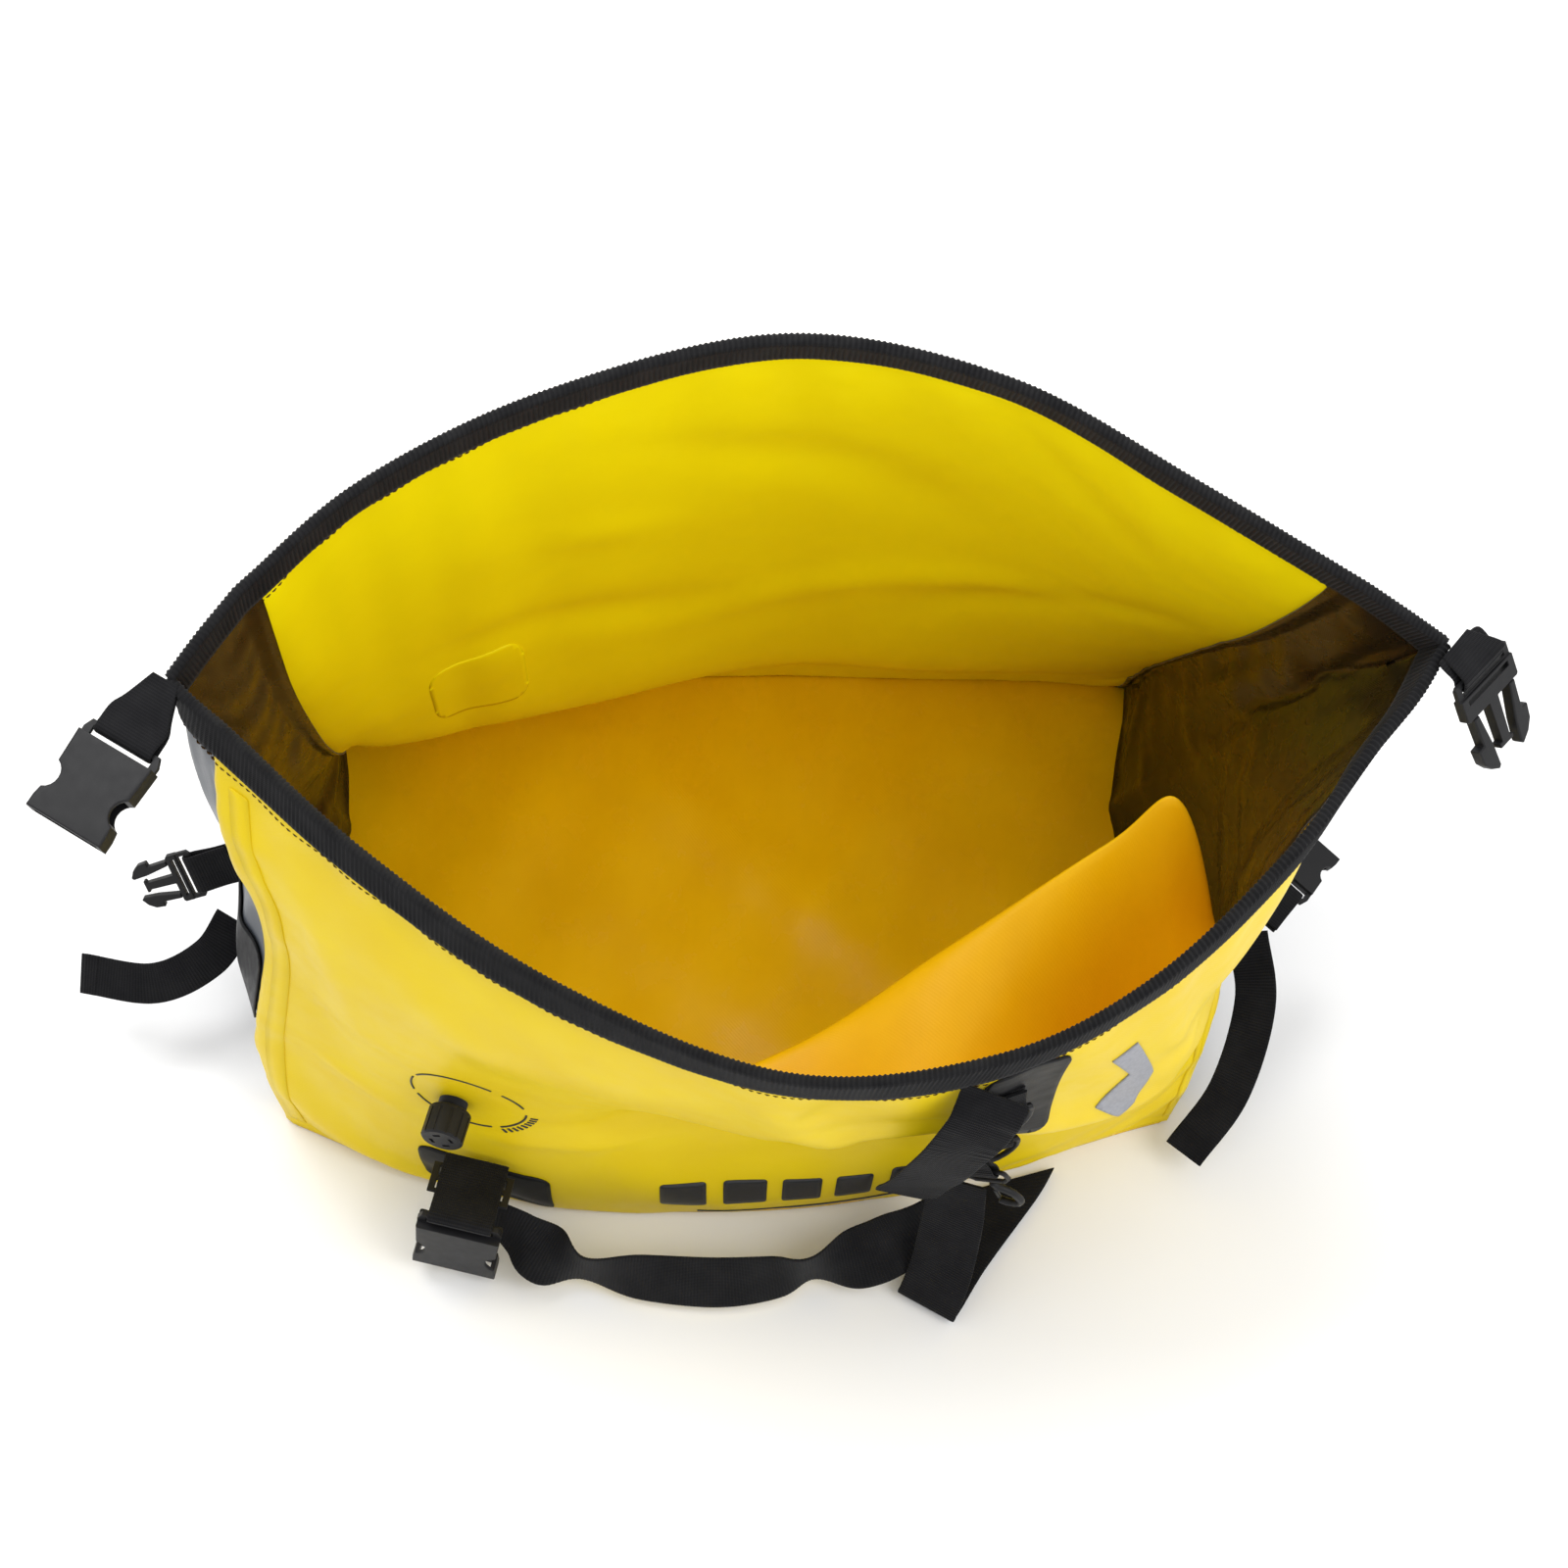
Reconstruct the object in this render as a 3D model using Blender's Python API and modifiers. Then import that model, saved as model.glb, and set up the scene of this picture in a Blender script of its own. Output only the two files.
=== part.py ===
"""Roll-top duffel dry bag with its mouth open: welded fabric panels, webbing, buckles, rings, a snap hook
and an air valve.

Metres, +Z up, the floor at z = 0, the front of the bag towards -Y. Each hoop of the body is a hand-placed
station of eight heights, from the floor seam up to the rim.
"""

import bpy
import bmesh
from math import cos, pi, radians, sin
from mathutils import Matrix, Vector

# ---- driving sizes ------------------------------------------------------------------------------
FABRIC = 0.0015            # coated fabric with its backing
GAP = 0.0004               # between neighbouring pieces
CORNER_GAP = 0.0026        # where two panels meet at a folded seam
BASE_TOP = 0.002
BINDING_LEG = 0.019        # half of a 38 mm webbing folded over the rim
BINDING_SKIN = 0.0012
WEB = 0.0014               # webbing thickness
WIDE = 0.038               # shoulder, handle and mouth webbing
NARROW = 0.025             # side webbing
BAR = 0.0015               # half thickness of a buckle's webbing bar

VALVE_SHARE = (0.195, 0.40)  # the valve's place on the front panel's net
CAP_RADIUS = 0.0125
CAP_HEIGHT = 0.019
NECK_RADIUS = 0.0085
FLANGE_RADIUS = 0.020

# ---- the hoops of the body, floor seam to rim ----------------------------------------------------
FRONT = [
    [(-.268, -.155, .003), (-.273, -.152, .04), (-.274, -.149, .10), (-.266, -.147, .15),
     (-.258, -.143, .20), (-.258, -.139, .25), (-.270, -.122, .30), (-.268, -.088, .356)],
    [(-.185, -.190, .003), (-.190, -.196, .04), (-.190, -.194, .09), (-.190, -.194, .14),
     (-.188, -.197, .19), (-.187, -.196, .24), (-.187, -.183, .29), (-.190, -.158, .340)],
    [(-.085, -.212, .003), (-.088, -.218, .03), (-.089, -.212, .075), (-.090, -.207, .12),
     (-.090, -.218, .165), (-.090, -.234, .215), (-.090, -.233, .265), (-.090, -.220, .310)],
    [(.030, -.214, .003), (.030, -.220, .03), (.032, -.203, .08), (.034, -.172, .140),
     (.035, -.230, .135), (.035, -.242, .175), (.035, -.249, .22), (.035, -.254, .265)],
    [(.120, -.200, .003), (.125, -.206, .03), (.130, -.192, .08), (.126, -.134, .192),
     (.125, -.236, .165), (.129, -.243, .195), (.137, -.246, .228), (.150, -.243, .265)],
    [(.200, -.176, .003), (.206, -.181, .03), (.213, -.170, .08), (.215, -.102, .255),
     (.221, -.190, .108), (.224, -.201, .165), (.227, -.209, .232), (.232, -.216, .303)],
    [(.240, -.163, .003), (.247, -.166, .033), (.256, -.156, .08), (.254, -.094, .285),
     (.262, -.166, .130), (.271, -.173, .19), (.286, -.176, .265), (.303, -.163, .350)],
    [(.268, -.155, .003), (.276, -.150, .035), (.284, -.141, .085), (.288, -.134, .16),
     (.291, -.128, .21), (.300, -.126, .26), (.321, -.116, .315), (.350, -.103, .362)],
]
RIGHT_FRONT = [
    [(.256, -.050, .003), (.283, -.060, .045), (.293, -.065, .095), (.295, -.070, .15),
     (.300, -.075, .21), (.317, -.075, .27), (.345, -.078, .325), (.374, -.074, .367)],
]
RIGHT_CORNER = [(.240, .060, .003), (.258, .050, .045), (.280, .030, .095), (.295, .015, .15),
                (.310, .000, .21), (.335, -.015, .27), (.365, -.030, .325), (.391, -.045, .370)]
RIGHT_BACK = [
    [(.248, .108, .003), (.258, .095, .045), (.274, .073, .092), (.288, .050, .15),
     (.303, .027, .21), (.325, .003, .27), (.350, -.020, .335), (.370, -.040, .387)],
]
BACK = [
    [(.256, .152, .003), (.260, .135, .04), (.268, .115, .09), (.280, .085, .15),
     (.294, .054, .21), (.310, .022, .27), (.328, -.008, .34), (.345, -.033, .405)],
    [(.200, .158, .003), (.200, .147, .04), (.205, .122, .08), (.213, .097, .15),
     (.222, .072, .23), (.232, .045, .31), (.241, .020, .385), (.250, -.002, .457)],
    [(.120, .160, .003), (.120, .151, .04), (.122, .127, .075), (.125, .113, .16),
     (.130, .100, .25), (.137, .080, .34), (.144, .055, .43), (.150, .028, .507)],
    [(.030, .162, .003), (.030, .155, .04), (.030, .131, .075), (.031, .118, .16),
     (.032, .105, .25), (.033, .088, .34), (.034, .068, .43), (.035, .048, .517)],
    [(-.085, .160, .003), (-.085, .149, .04), (-.085, .100, .075), (-.086, .085, .16),
     (-.087, .075, .25), (-.088, .063, .33), (-.089, .050, .41), (-.090, .039, .480)],
    [(-.180, .157, .003), (-.180, .141, .04), (-.180, .070, .085), (-.180, .045, .16),
     (-.182, .035, .23), (-.184, .028, .30), (-.187, .022, .37), (-.190, .015, .432)],
    [(-.256, .152, .003), (-.253, .132, .04), (-.243, .055, .09), (-.245, .020, .15),
     (-.250, .000, .21), (-.254, -.015, .27), (-.256, -.022, .33), (-.258, -.024, .390)],
]
LEFT_BACK = [
    [(-.246, .100, .003), (-.250, .086, .045), (-.258, .024, .095), (-.262, .000, .15),
     (-.263, -.015, .21), (-.266, -.028, .27), (-.272, -.038, .33), (-.279, -.045, .376)],
]
LEFT_CORNER = [(-.238, .045, .003), (-.250, .030, .045), (-.272, -.010, .095), (-.280, -.025, .15),
               (-.275, -.035, .21), (-.278, -.045, .27), (-.288, -.055, .32), (-.297, -.062, .360)]
LEFT_FRONT = [
    [(-.258, -.060, .003), (-.280, -.080, .045), (-.289, -.090, .095), (-.285, -.095, .15),
     (-.275, -.090, .21), (-.280, -.088, .26), (-.290, -.080, .31), (-.285, -.074, .358)],
]
SPANS = {
    "front": FRONT,
    "right_front": [FRONT[-1]] + RIGHT_FRONT + [RIGHT_CORNER],
    "right_back": [RIGHT_CORNER] + RIGHT_BACK + [BACK[0]],
    "back": BACK,
    "left_back": [BACK[-1]] + LEFT_BACK + [LEFT_CORNER],
    "left_front": [LEFT_CORNER] + LEFT_FRONT + [FRONT[0]],
}

# ---- colours -------------------------------------------------------------------------------------
YELLOW = (0.80, 0.60, 0.01)
GREY = (0.075, 0.085, 0.10)
BLACK = (0.010, 0.010, 0.011)
WEB_BLACK = (0.009, 0.009, 0.010)
PATCH_BLACK = (0.014, 0.014, 0.016)
SILVER = (0.30, 0.31, 0.34)
RUBBER = (0.03, 0.03, 0.03)
STEEL = (0.35, 0.35, 0.36)


# ---- helpers -------------------------------------------------------------------------------------
def clear_scene():
    for item in list(bpy.data.objects):
        bpy.data.objects.remove(item, do_unlink=True)


def material(name, colour, roughness, metallic=0.0):
    found = bpy.data.materials.get(name)
    if found:
        return found
    made = bpy.data.materials.new(name)
    made.use_nodes = True
    shader = made.node_tree.nodes["Principled BSDF"]
    shader.inputs["Base Color"].default_value = (*colour, 1.0)
    shader.inputs["Roughness"].default_value = roughness
    shader.inputs["Metallic"].default_value = metallic
    return made


def fabric():
    return material("yellow_coated_fabric", YELLOW, 0.38)


def end_fabric():
    return material("grey_coated_fabric", GREY, 0.42)


def webbing():
    return material("black_webbing", WEB_BLACK, 0.85)


def plastic():
    return material("black_plastic", BLACK, 0.42)


def patch_film():
    return material("black_patch", PATCH_BLACK, 0.5)


def keep(name, mesh, look, smooth=False):
    """Makes the mesh a named part in the bag's collection."""
    part = bpy.data.objects.new(name, mesh)
    BAG.objects.link(part)
    mesh.materials.clear()
    mesh.materials.append(look)
    for face in mesh.polygons:
        face.use_smooth = smooth
    return part


def mesh_of(shape, name):
    mesh = bpy.data.meshes.new(name)
    bmesh.ops.recalc_face_normals(shape, faces=shape.faces)
    shape.to_mesh(mesh)
    shape.free()
    return mesh


def between(points, splits):
    """A smooth line through the points, with `splits` steps between each two."""
    line = [Vector(p) for p in points]
    made = []
    for i in range(len(line) - 1):
        start, end = line[i], line[i + 1]
        into = (end - line[i - 1]) / 2 if i else end - start
        out = (line[i + 2] - start) / 2 if i + 2 < len(line) else end - start
        for step in range(splits):
            t = step / splits
            made.append(
                start * (2 * t**3 - 3 * t**2 + 1) + into * (t**3 - 2 * t**2 + t)
                + end * (3 * t**2 - 2 * t**3) + out * (t**3 - t**2)
            )
    return made + [line[-1]]


def net(span, across=2, up=2):
    """The fine net of a span: columns of points, each from the floor seam to the rim."""
    columns = [between(column, up) for column in SPANS[span]]
    rows = [between([column[r] for column in columns], across) for r in range(len(columns[0]))]
    return [[row[c] for row in rows] for c in range(len(rows[0]))]


def drawn_in(columns, first, last, top):
    """The net with its side edges and its rim pulled in, so that the next panel keeps a gap."""
    made = [list(column) for column in columns]
    for r in range(len(made[0])):
        made[0][r] = made[0][r] + (columns[1][r] - columns[0][r]).normalized() * first
        made[-1][r] = made[-1][r] + (columns[-2][r] - columns[-1][r]).normalized() * last
    for column in made:
        column[-1] = column[-1] + (column[-2] - column[-1]).normalized() * top
    return made


def skin(name, columns):
    """An open mesh through a net of columns, facing out of the bag."""
    height = len(columns[0])
    points = [point for column in columns for point in column]
    faces = []
    for c in range(len(columns) - 1):
        for r in range(height - 1):
            low = c * height + r
            faces.append((low, low + height, low + height + 1, low + 1))
    mesh = bpy.data.meshes.new(name)
    mesh.from_pydata(points, [], faces)
    return mesh


def thicken(part, depth, offset):
    solidify = part.modifiers.new("thickness", "SOLIDIFY")
    solidify.thickness = depth
    solidify.offset = offset
    solidify.use_even_offset = False
    return part


def frame_of(origin, length, width):
    """A frame at `origin`: +X along length, +Y near width, +Z their normal."""
    x = Vector(length).normalized()
    y = Vector(width)
    y = (y - x * y.dot(x)).normalized()
    z = x.cross(y)
    turn = Matrix((x, y, z)).transposed().to_4x4()
    return Matrix.Translation(origin) @ turn


def arc(centre, radius, start, end, steps):
    """Points of an arc in the XY plane, angles in degrees."""
    return [
        (centre[0] + radius * cos(radians(start + (end - start) * i / steps)),
         centre[1] + radius * sin(radians(start + (end - start) * i / steps)))
        for i in range(steps + 1)
    ]


def rectangle(low, high):
    return [(low[0], low[1]), (high[0], low[1]), (high[0], high[1]), (low[0], high[1])]


def plate_mesh(name, outlines, depth, edge):
    """A flat plate: the first outline is its rim, the others its holes. Its edges are rounded."""
    curve = bpy.data.curves.new(name, "CURVE")
    curve.dimensions = "2D"
    curve.fill_mode = "BOTH"
    curve.extrude = depth / 2 - edge
    curve.bevel_depth = edge
    curve.bevel_resolution = 1 if edge else 0
    curve.offset = -edge
    for outline in outlines:
        spline = curve.splines.new("POLY")
        spline.points.add(len(outline) - 1)
        spline.use_cyclic_u = True
        for point, (x, y) in zip(spline.points, outline):
            point.co = (x, y, 0, 1)
    guide = bpy.data.objects.new(name, curve)
    TOOLS.objects.link(guide)
    mesh = bpy.data.meshes.new_from_object(guide)
    bpy.data.objects.remove(guide, do_unlink=True)
    shape = bmesh.new()
    shape.from_mesh(mesh)
    bmesh.ops.remove_doubles(shape, verts=shape.verts, dist=1e-5)
    return mesh_of(shape, name)


def block(name, low, high):
    shape = bmesh.new()
    bmesh.ops.create_cube(shape, size=1)
    centre = (Vector(low) + Vector(high)) / 2
    size = Vector(high) - Vector(low)
    for vert in shape.verts:
        vert.co = Vector(a * b for a, b in zip(vert.co, size)) + centre
    return mesh_of(shape, name)


def cutter(name, mesh, matrix=None):
    tool = bpy.data.objects.new(name, mesh)
    TOOLS.objects.link(tool)
    tool.hide_render = True
    tool.display_type = "WIRE"
    if matrix:
        tool.matrix_world = matrix
    return tool


def combine(part, tool, operation="DIFFERENCE"):
    cut = part.modifiers.new(operation.lower(), "BOOLEAN")
    cut.operation = operation
    cut.solver = "EXACT"
    cut.object = tool


def turned(name, profile, steps=28):
    """A round piece from a closed (radius, height) profile, turned about +Z."""
    shape = bmesh.new()
    rings = []
    for k in range(steps):
        angle = 2 * pi * k / steps
        rings.append([shape.verts.new((r * cos(angle), r * sin(angle), z)) for r, z in profile])
    count = len(profile)
    for k in range(steps):
        now, after = rings[k], rings[(k + 1) % steps]
        for i in range(count):
            j = (i + 1) % count
            shape.faces.new((now[i], after[i], after[j], now[j]))
    bmesh.ops.remove_doubles(shape, verts=shape.verts, dist=1e-6)
    return mesh_of(shape, name)


def strip(name, route, widths, sides, depth=WEB, splits=4, look=None):
    """Flat webbing along a route. `sides` are its width directions, `widths` its widths."""
    centre = between(route, splits)
    across = between(sides, splits)
    spread = between([(w, 0, 0) for w in widths], splits)
    left, right = [], []
    for point, side, width in zip(centre, across, spread):
        half = side.normalized() * width.x / 2
        left.append(point - half)
        right.append(point + half)
    mesh = skin(name, [left, right])
    return thicken(keep(name, mesh, look or webbing(), True), depth, 0)


def wire(name, points, radius, look, closed=False, sides=2):
    """A round rod along straight stretches between hand-placed points."""
    curve = bpy.data.curves.new(name, "CURVE")
    curve.dimensions = "3D"
    curve.bevel_depth = radius
    curve.bevel_resolution = sides
    curve.use_fill_caps = not closed
    spline = curve.splines.new("POLY")
    spline.points.add(len(points) - 1)
    spline.use_cyclic_u = closed
    for point, place in zip(spline.points, points):
        point.co = (*place, 1)
    guide = bpy.data.objects.new(name, curve)
    TOOLS.objects.link(guide)
    mesh = bpy.data.meshes.new_from_object(guide)
    bpy.data.objects.remove(guide, do_unlink=True)
    shape = bmesh.new()
    shape.from_mesh(mesh)
    bmesh.ops.remove_doubles(shape, verts=shape.verts, dist=1e-6)
    return keep(name, mesh_of(shape, name), look, True)


# ---- the body ------------------------------------------------------------------------------------
def base_panel():
    """The floor of the bag, a flat sheet under all the walls."""
    outline = []
    for span in SPANS:
        outline += [(column[0].x, column[0].y) for column in net(span)[:-1]]
    part = keep("base_panel", plate_mesh("base_panel", [outline], BASE_TOP, 0.0), fabric())
    part.location = (0, 0, BASE_TOP / 2)


def wall(name, spans, look, first, last):
    columns = net(spans[0])
    for span in spans[1:]:
        columns += net(span)[1:]
    part = keep(name, skin(name, drawn_in(columns, first, last, 0.001)), look, True)
    return thicken(part, FABRIC, -1)


def walls():
    front = wall("front_panel", ["front"], fabric(), CORNER_GAP, 3 * CORNER_GAP)
    wall("back_panel", ["back"], fabric(), CORNER_GAP, CORNER_GAP)
    wall("end_panel_right", ["right_front", "right_back"], end_fabric(), GAP, GAP)
    wall("end_panel_left", ["left_back", "left_front"], end_fabric(), GAP, GAP)
    bore, reach = NECK_RADIUS + 0.0005, 0.03
    hole = turned("valve_hole", [(0, -reach), (bore, -reach), (bore, reach), (0, reach)])
    combine(front, cutter("valve_hole", hole, valve_frame()))


def along(column, distance):
    """The point this far down a column from its rim."""
    for upper, lower in zip(reversed(column), reversed(column[:-1])):
        step = (lower - upper).length
        if distance <= step:
            return upper + (lower - upper) * distance / step
        distance -= step
    return column[0]


def binding(name, columns):
    """Webbing folded over the rim: a U section carried along it."""
    clear = GAP + 0.0016
    outer, inner = clear, -FABRIC - clear
    skin_out, skin_in = outer + BINDING_SKIN, inner - BINDING_SKIN
    section = [
        (outer, 1), (outer, 0.5), (outer, 0), (inner, 0), (inner, 0.5), (inner, 1),
        (skin_in, 1), (skin_in, 0.5), (skin_in, -0.07), (skin_out, -0.07), (skin_out, 0.5), (skin_out, 1),
    ]
    shape = bmesh.new()
    rings = []
    for c, column in enumerate(columns):
        ahead = columns[min(c + 1, len(columns) - 1)][-1]
        behind = columns[max(c - 1, 0)][-1]
        down = (along(column, BINDING_LEG) - column[-1]).normalized()
        out = down.cross(ahead - behind).normalized()
        ring = []
        for offset, share in section:
            depth = share * BINDING_LEG
            point = along(column, depth) if depth > 0 else column[-1] + down * depth
            ring.append(shape.verts.new(point + out * offset))
        rings.append(ring)
    for now, after in zip(rings, rings[1:]):
        for i in range(len(section)):
            j = (i + 1) % len(section)
            shape.faces.new((now[i], now[j], after[j], after[i]))
    shape.faces.new(rings[0])
    shape.faces.new(reversed(rings[-1]))
    return keep(name, mesh_of(shape, name), webbing(), True)


def bindings():
    front = net("left_front") + net("front")[1:] + net("right_front")[1:]
    back = net("right_back") + net("back")[1:] + net("left_back")[1:]
    binding("rim_binding_front", drawn_in(front, 0.006, 0.006, 0))
    binding("rim_binding_back", drawn_in(back, 0.006, 0.006, 0))


# ---- buckles, in their own frames: the webbing bar on Y at the origin, the buckle towards +X ------
def female_outline(width):
    """The housing of a side-release buckle, with a thumb notch in each side."""
    k = width / WIDE
    half, tail = 0.025 * k, 0.0225 * k
    length, notch, radius = 0.058 * k, 0.036 * k, 0.0088 * k
    right = [(-BAR, tail), (0.004 * k, half)]
    right += arc((notch, half + 0.002 * k), radius, 200, 340, 8)
    right += [(0.050 * k, half), (length - 0.001, half)]
    left = [(x, -y) for x, y in reversed(right)]
    return right + left


def thin_bar(part, reach, place):
    """Cuts the webbing end of a housing down to the thickness of its bar."""
    for side in (1, -1):
        low = (-0.01, -0.05, BAR if side > 0 else -0.02)
        high = (reach, 0.05, 0.02 if side > 0 else -BAR)
        tool = f"{part.name}_end_{side + 1}"
        combine(part, cutter(tool, block(tool, low, high), place))


def buckle_female(name, width, place):
    k = width / WIDE
    slot = rectangle((BAR, -width / 2 - 0.001), (BAR + 0.005, width / 2 + 0.001))
    mesh = plate_mesh(name, [female_outline(width), slot[::-1]], 0.0125 * k, 0.0012 * k)
    part = keep(name, mesh, plastic())
    part.matrix_world = place
    low = (0.018 * k, -0.0215 * k, -0.0043 * k)
    high = (0.07 * k, 0.0215 * k, 0.0043 * k)
    combine(part, cutter(name + "_socket", block(name + "_socket", low, high), place))
    thin_bar(part, BAR + 0.0056, place)
    return part


def buckle_male(name, width, place):
    """The ladder and the centre guide of the plug half."""
    k = width / WIDE
    half, base, tip = 0.0245 * k, 0.021 * k, 0.050 * k
    right = [(-BAR, half - 0.002), (0.0, half), (base - 0.001, half), (base, half - 0.001)]
    right += [(base, 0.0042 * k), (tip - 0.003 * k, 0.0036 * k)]
    right += [(tip - 0.0025 * k, 0.0060 * k), (tip, 0.0060 * k)]
    outline = right + [(x, -y) for x, y in reversed(right)]
    reach = width / 2 + 0.001
    slots = [
        rectangle((BAR, -reach), (BAR + 0.0048, reach))[::-1],
        rectangle((BAR + 0.0074, 0.0008 - reach), (BAR + 0.0074 + 0.0032 * k, reach - 0.0008))[::-1],
    ]
    part = keep(name, plate_mesh(name, [outline] + slots, 0.0062 * k, 0.0), plastic())
    part.matrix_world = place
    thin_bar(part, BAR + 0.0056, place)
    return part


def prong(name, width, place, side):
    """One sprung arm of the plug half, with its rounded thumb pad. Its root is on the joint."""
    k = width / WIDE
    base, root, tip = 0.021 * k + GAP, 0.0175 * k, 0.059 * k
    outline = [
        (base, root - 0.0025 * k), (tip - 0.016 * k, root - 0.0065 * k), (tip - 0.002 * k, root - 0.0075 * k),
        (tip, root - 0.0055 * k), (tip - 0.004 * k, root + 0.0010 * k), (tip - 0.010 * k, root + 0.0055 * k),
        (tip - 0.019 * k, root + 0.0065 * k), (tip - 0.0195 * k, root + 0.0015 * k),
        (base, root + 0.0025 * k),
    ]
    hinge = Vector((base, root, 0))
    outline = [(x - hinge.x, side * (y - hinge.y)) for x, y in outline]
    part = keep(name, plate_mesh(name, [outline[::side]], 0.0072 * k, 0.0010 * k), plastic())
    part.matrix_world = place @ Matrix.Translation((hinge.x, side * hinge.y, 0))
    return part


def plug(name, prong_name, width, place):
    buckle_male(name, width, place)
    prong(prong_name + "_a", width, place, 1)
    prong(prong_name + "_b", width, place, -1)


def loop_route(place, lead, bulge=0.0):
    """A strap's two legs round a webbing bar: out over the bar, round it, and back under it."""
    turn = BAR + 0.0010 + WEB / 2
    over = [Vector((x, 0, 0.0010 + WEB / 2)) for x in (-lead, -lead * 0.62)]
    under = [Vector((-lead * 0.62, 0, -0.0010 - WEB / 2 - bulge)), Vector((-lead, 0, -0.0010 - WEB / 2))]
    round_bar = [Vector((-0.004, 0, turn))]
    round_bar += [Vector((turn * sin(a), 0, turn * cos(a))) for a in (0, pi / 4, pi / 2, 3 * pi / 4, pi)]
    round_bar += [Vector((-0.004, 0, -turn))]
    return [place @ p for p in over + round_bar + under]


# ---- placing the mouth hardware ------------------------------------------------------------------
def mouth_left_frame():
    return frame_of((-0.318, -0.094, 0.349), (-0.53, -0.81, -0.245), (0.836, -0.547, 0))


def mouth_right_frame():
    return frame_of((0.4075, -0.0575, 0.366), (0.35, -0.45, -0.82), (0.634, 0.761, -0.143))


def mouth_hardware():
    left, right = mouth_left_frame(), mouth_right_frame()
    buckle_female("mouth_buckle_female", WIDE, left)
    plug("mouth_buckle_male", "mouth_prong", WIDE, right)
    side = [left.to_3x3() @ Vector((0, 1, 0))] * 11
    widths = [0.022, 0.032] + [WIDE] * 7 + [0.032, 0.022]
    strip("mouth_tab_left", loop_route(left, 0.030), widths, side, splits=2)
    side = [right.to_3x3() @ Vector((0, 1, 0))] * 9
    corner = Vector((0.3945, -0.0468, 0.3705))
    route = loop_route(right, 0.02)[1:-1]
    route = [corner + Vector((0, 0, 0.0012))] + route[1:-1] + [corner + Vector((0.001, 0, -0.0014))]
    over = right @ Vector((-0.012, 0, -0.009))
    route.insert(-1, over)
    side += [side[0]]
    widths = [0.024] + [WIDE] * 8 + [0.024]
    strip("mouth_tab_right", route, widths[: len(route)], side[: len(route)], splits=2)


# ---- side straps ---------------------------------------------------------------------------------
def side_left_frame():
    return frame_of((-0.318, -0.038, 0.100), (-0.94, -0.10, -0.324), (-0.33, 0.5, 0.8))


def side_right_frame():
    return frame_of((0.332, -0.052, 0.108), (0.6, 0.8, 0.01), (0.75, -0.56, -0.35))


def side_hardware():
    left, right = side_left_frame(), side_right_frame()
    plug("side_buckle_male", "side_prong", NARROW, left)
    buckle_female("side_buckle_female", NARROW, right)
    side = [left.to_3x3() @ Vector((0, 1, 0))] * 11
    strip("side_loop_left", loop_route(left, 0.024), [NARROW] * 11, side, splits=2)
    side = [right.to_3x3() @ Vector((0, 1, 0))] * 11
    strip("side_loop_right", loop_route(right, 0.026), [NARROW] * 11, side, splits=2)
    strip(
        "side_tail_left",
        [(-0.296, -0.058, 0.078), (-0.312, -0.078, 0.066), (-0.345, -0.090, 0.056), (-0.391, -0.080, 0.050)],
        [NARROW] * 4, [(0, 0.75, 0.66)] * 4,
    )
    strip(
        "side_tail_right",
        [(0.307, -0.088, 0.118), (0.313, -0.120, 0.090), (0.300, -0.157, 0.048), (0.273, -0.187, 0.022)],
        [NARROW] * 4, [(0.30, 0.62, 0.72), (0.80, 0.0, 0.45), (0.93, -0.30, 0.1), (0.93, -0.36, 0)],
    )


# ---- patches welded to the panels ----------------------------------------------------------------
def surface(span, u, v):
    """The place and the outward direction at shares u and v of a wall's net."""
    columns = net(span)
    width, height = len(columns) - 1, len(columns[0]) - 1

    def at(u, v):
        c, r = u * width, v * height
        i, j = min(int(c), width - 1), min(int(r), height - 1)
        a = columns[i][j].lerp(columns[i + 1][j], c - i)
        b = columns[i][j + 1].lerp(columns[i + 1][j + 1], c - i)
        return a.lerp(b, r - j)

    step = 0.008
    across = at(u + step, v) - at(u - step, v)
    up = at(u, v + step) - at(u, v - step)
    return at(u, v), across.cross(up).normalized()


def patch(name, span, low, high, look, lift=0.0009, depth=0.0010, size=4):
    """A flat patch laid over a stretch of a wall. low and high are (u, v) shares of its net."""
    columns = []
    for i in range(size + 1):
        column = []
        for j in range(size + 1):
            u = low[0] + (high[0] - low[0]) * i / size
            v = low[1] + (high[1] - low[1]) * j / size
            point, out = surface(span, u, v)
            column.append(point + out * lift)
        columns.append(column)
    part = keep(name, skin(name, columns), look, True)
    return thicken(part, depth, 1)


def patches():
    film = patch_film()
    patch("anchor_patch_left", "front", (0.155, 0.05), (0.265, 0.20), film)
    patch("anchor_patch_right", "front", (0.575, 0.64), (0.645, 0.90), film)
    silver = material("reflective_grey", SILVER, 0.35, 0.3)
    patch("chevron_strip", "front", (0.690, 0.67), (0.750, 0.84), silver)
    patch("side_patch_left", "left_front", (0.10, 0.26), (0.90, 0.50), film, 0.0016)
    patch("side_patch_right", "right_front", (0.10, 0.26), (0.90, 0.50), film, 0.0016)


# ---- the air valve -------------------------------------------------------------------------------
def valve_frame():
    """+Z out of the bag along the valve, +X level."""
    at, out = surface("front", *VALVE_SHARE)
    return frame_of(at, Vector((0, 0, 1)).cross(out), out.cross(Vector((0, 0, 1)).cross(out)))


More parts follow.
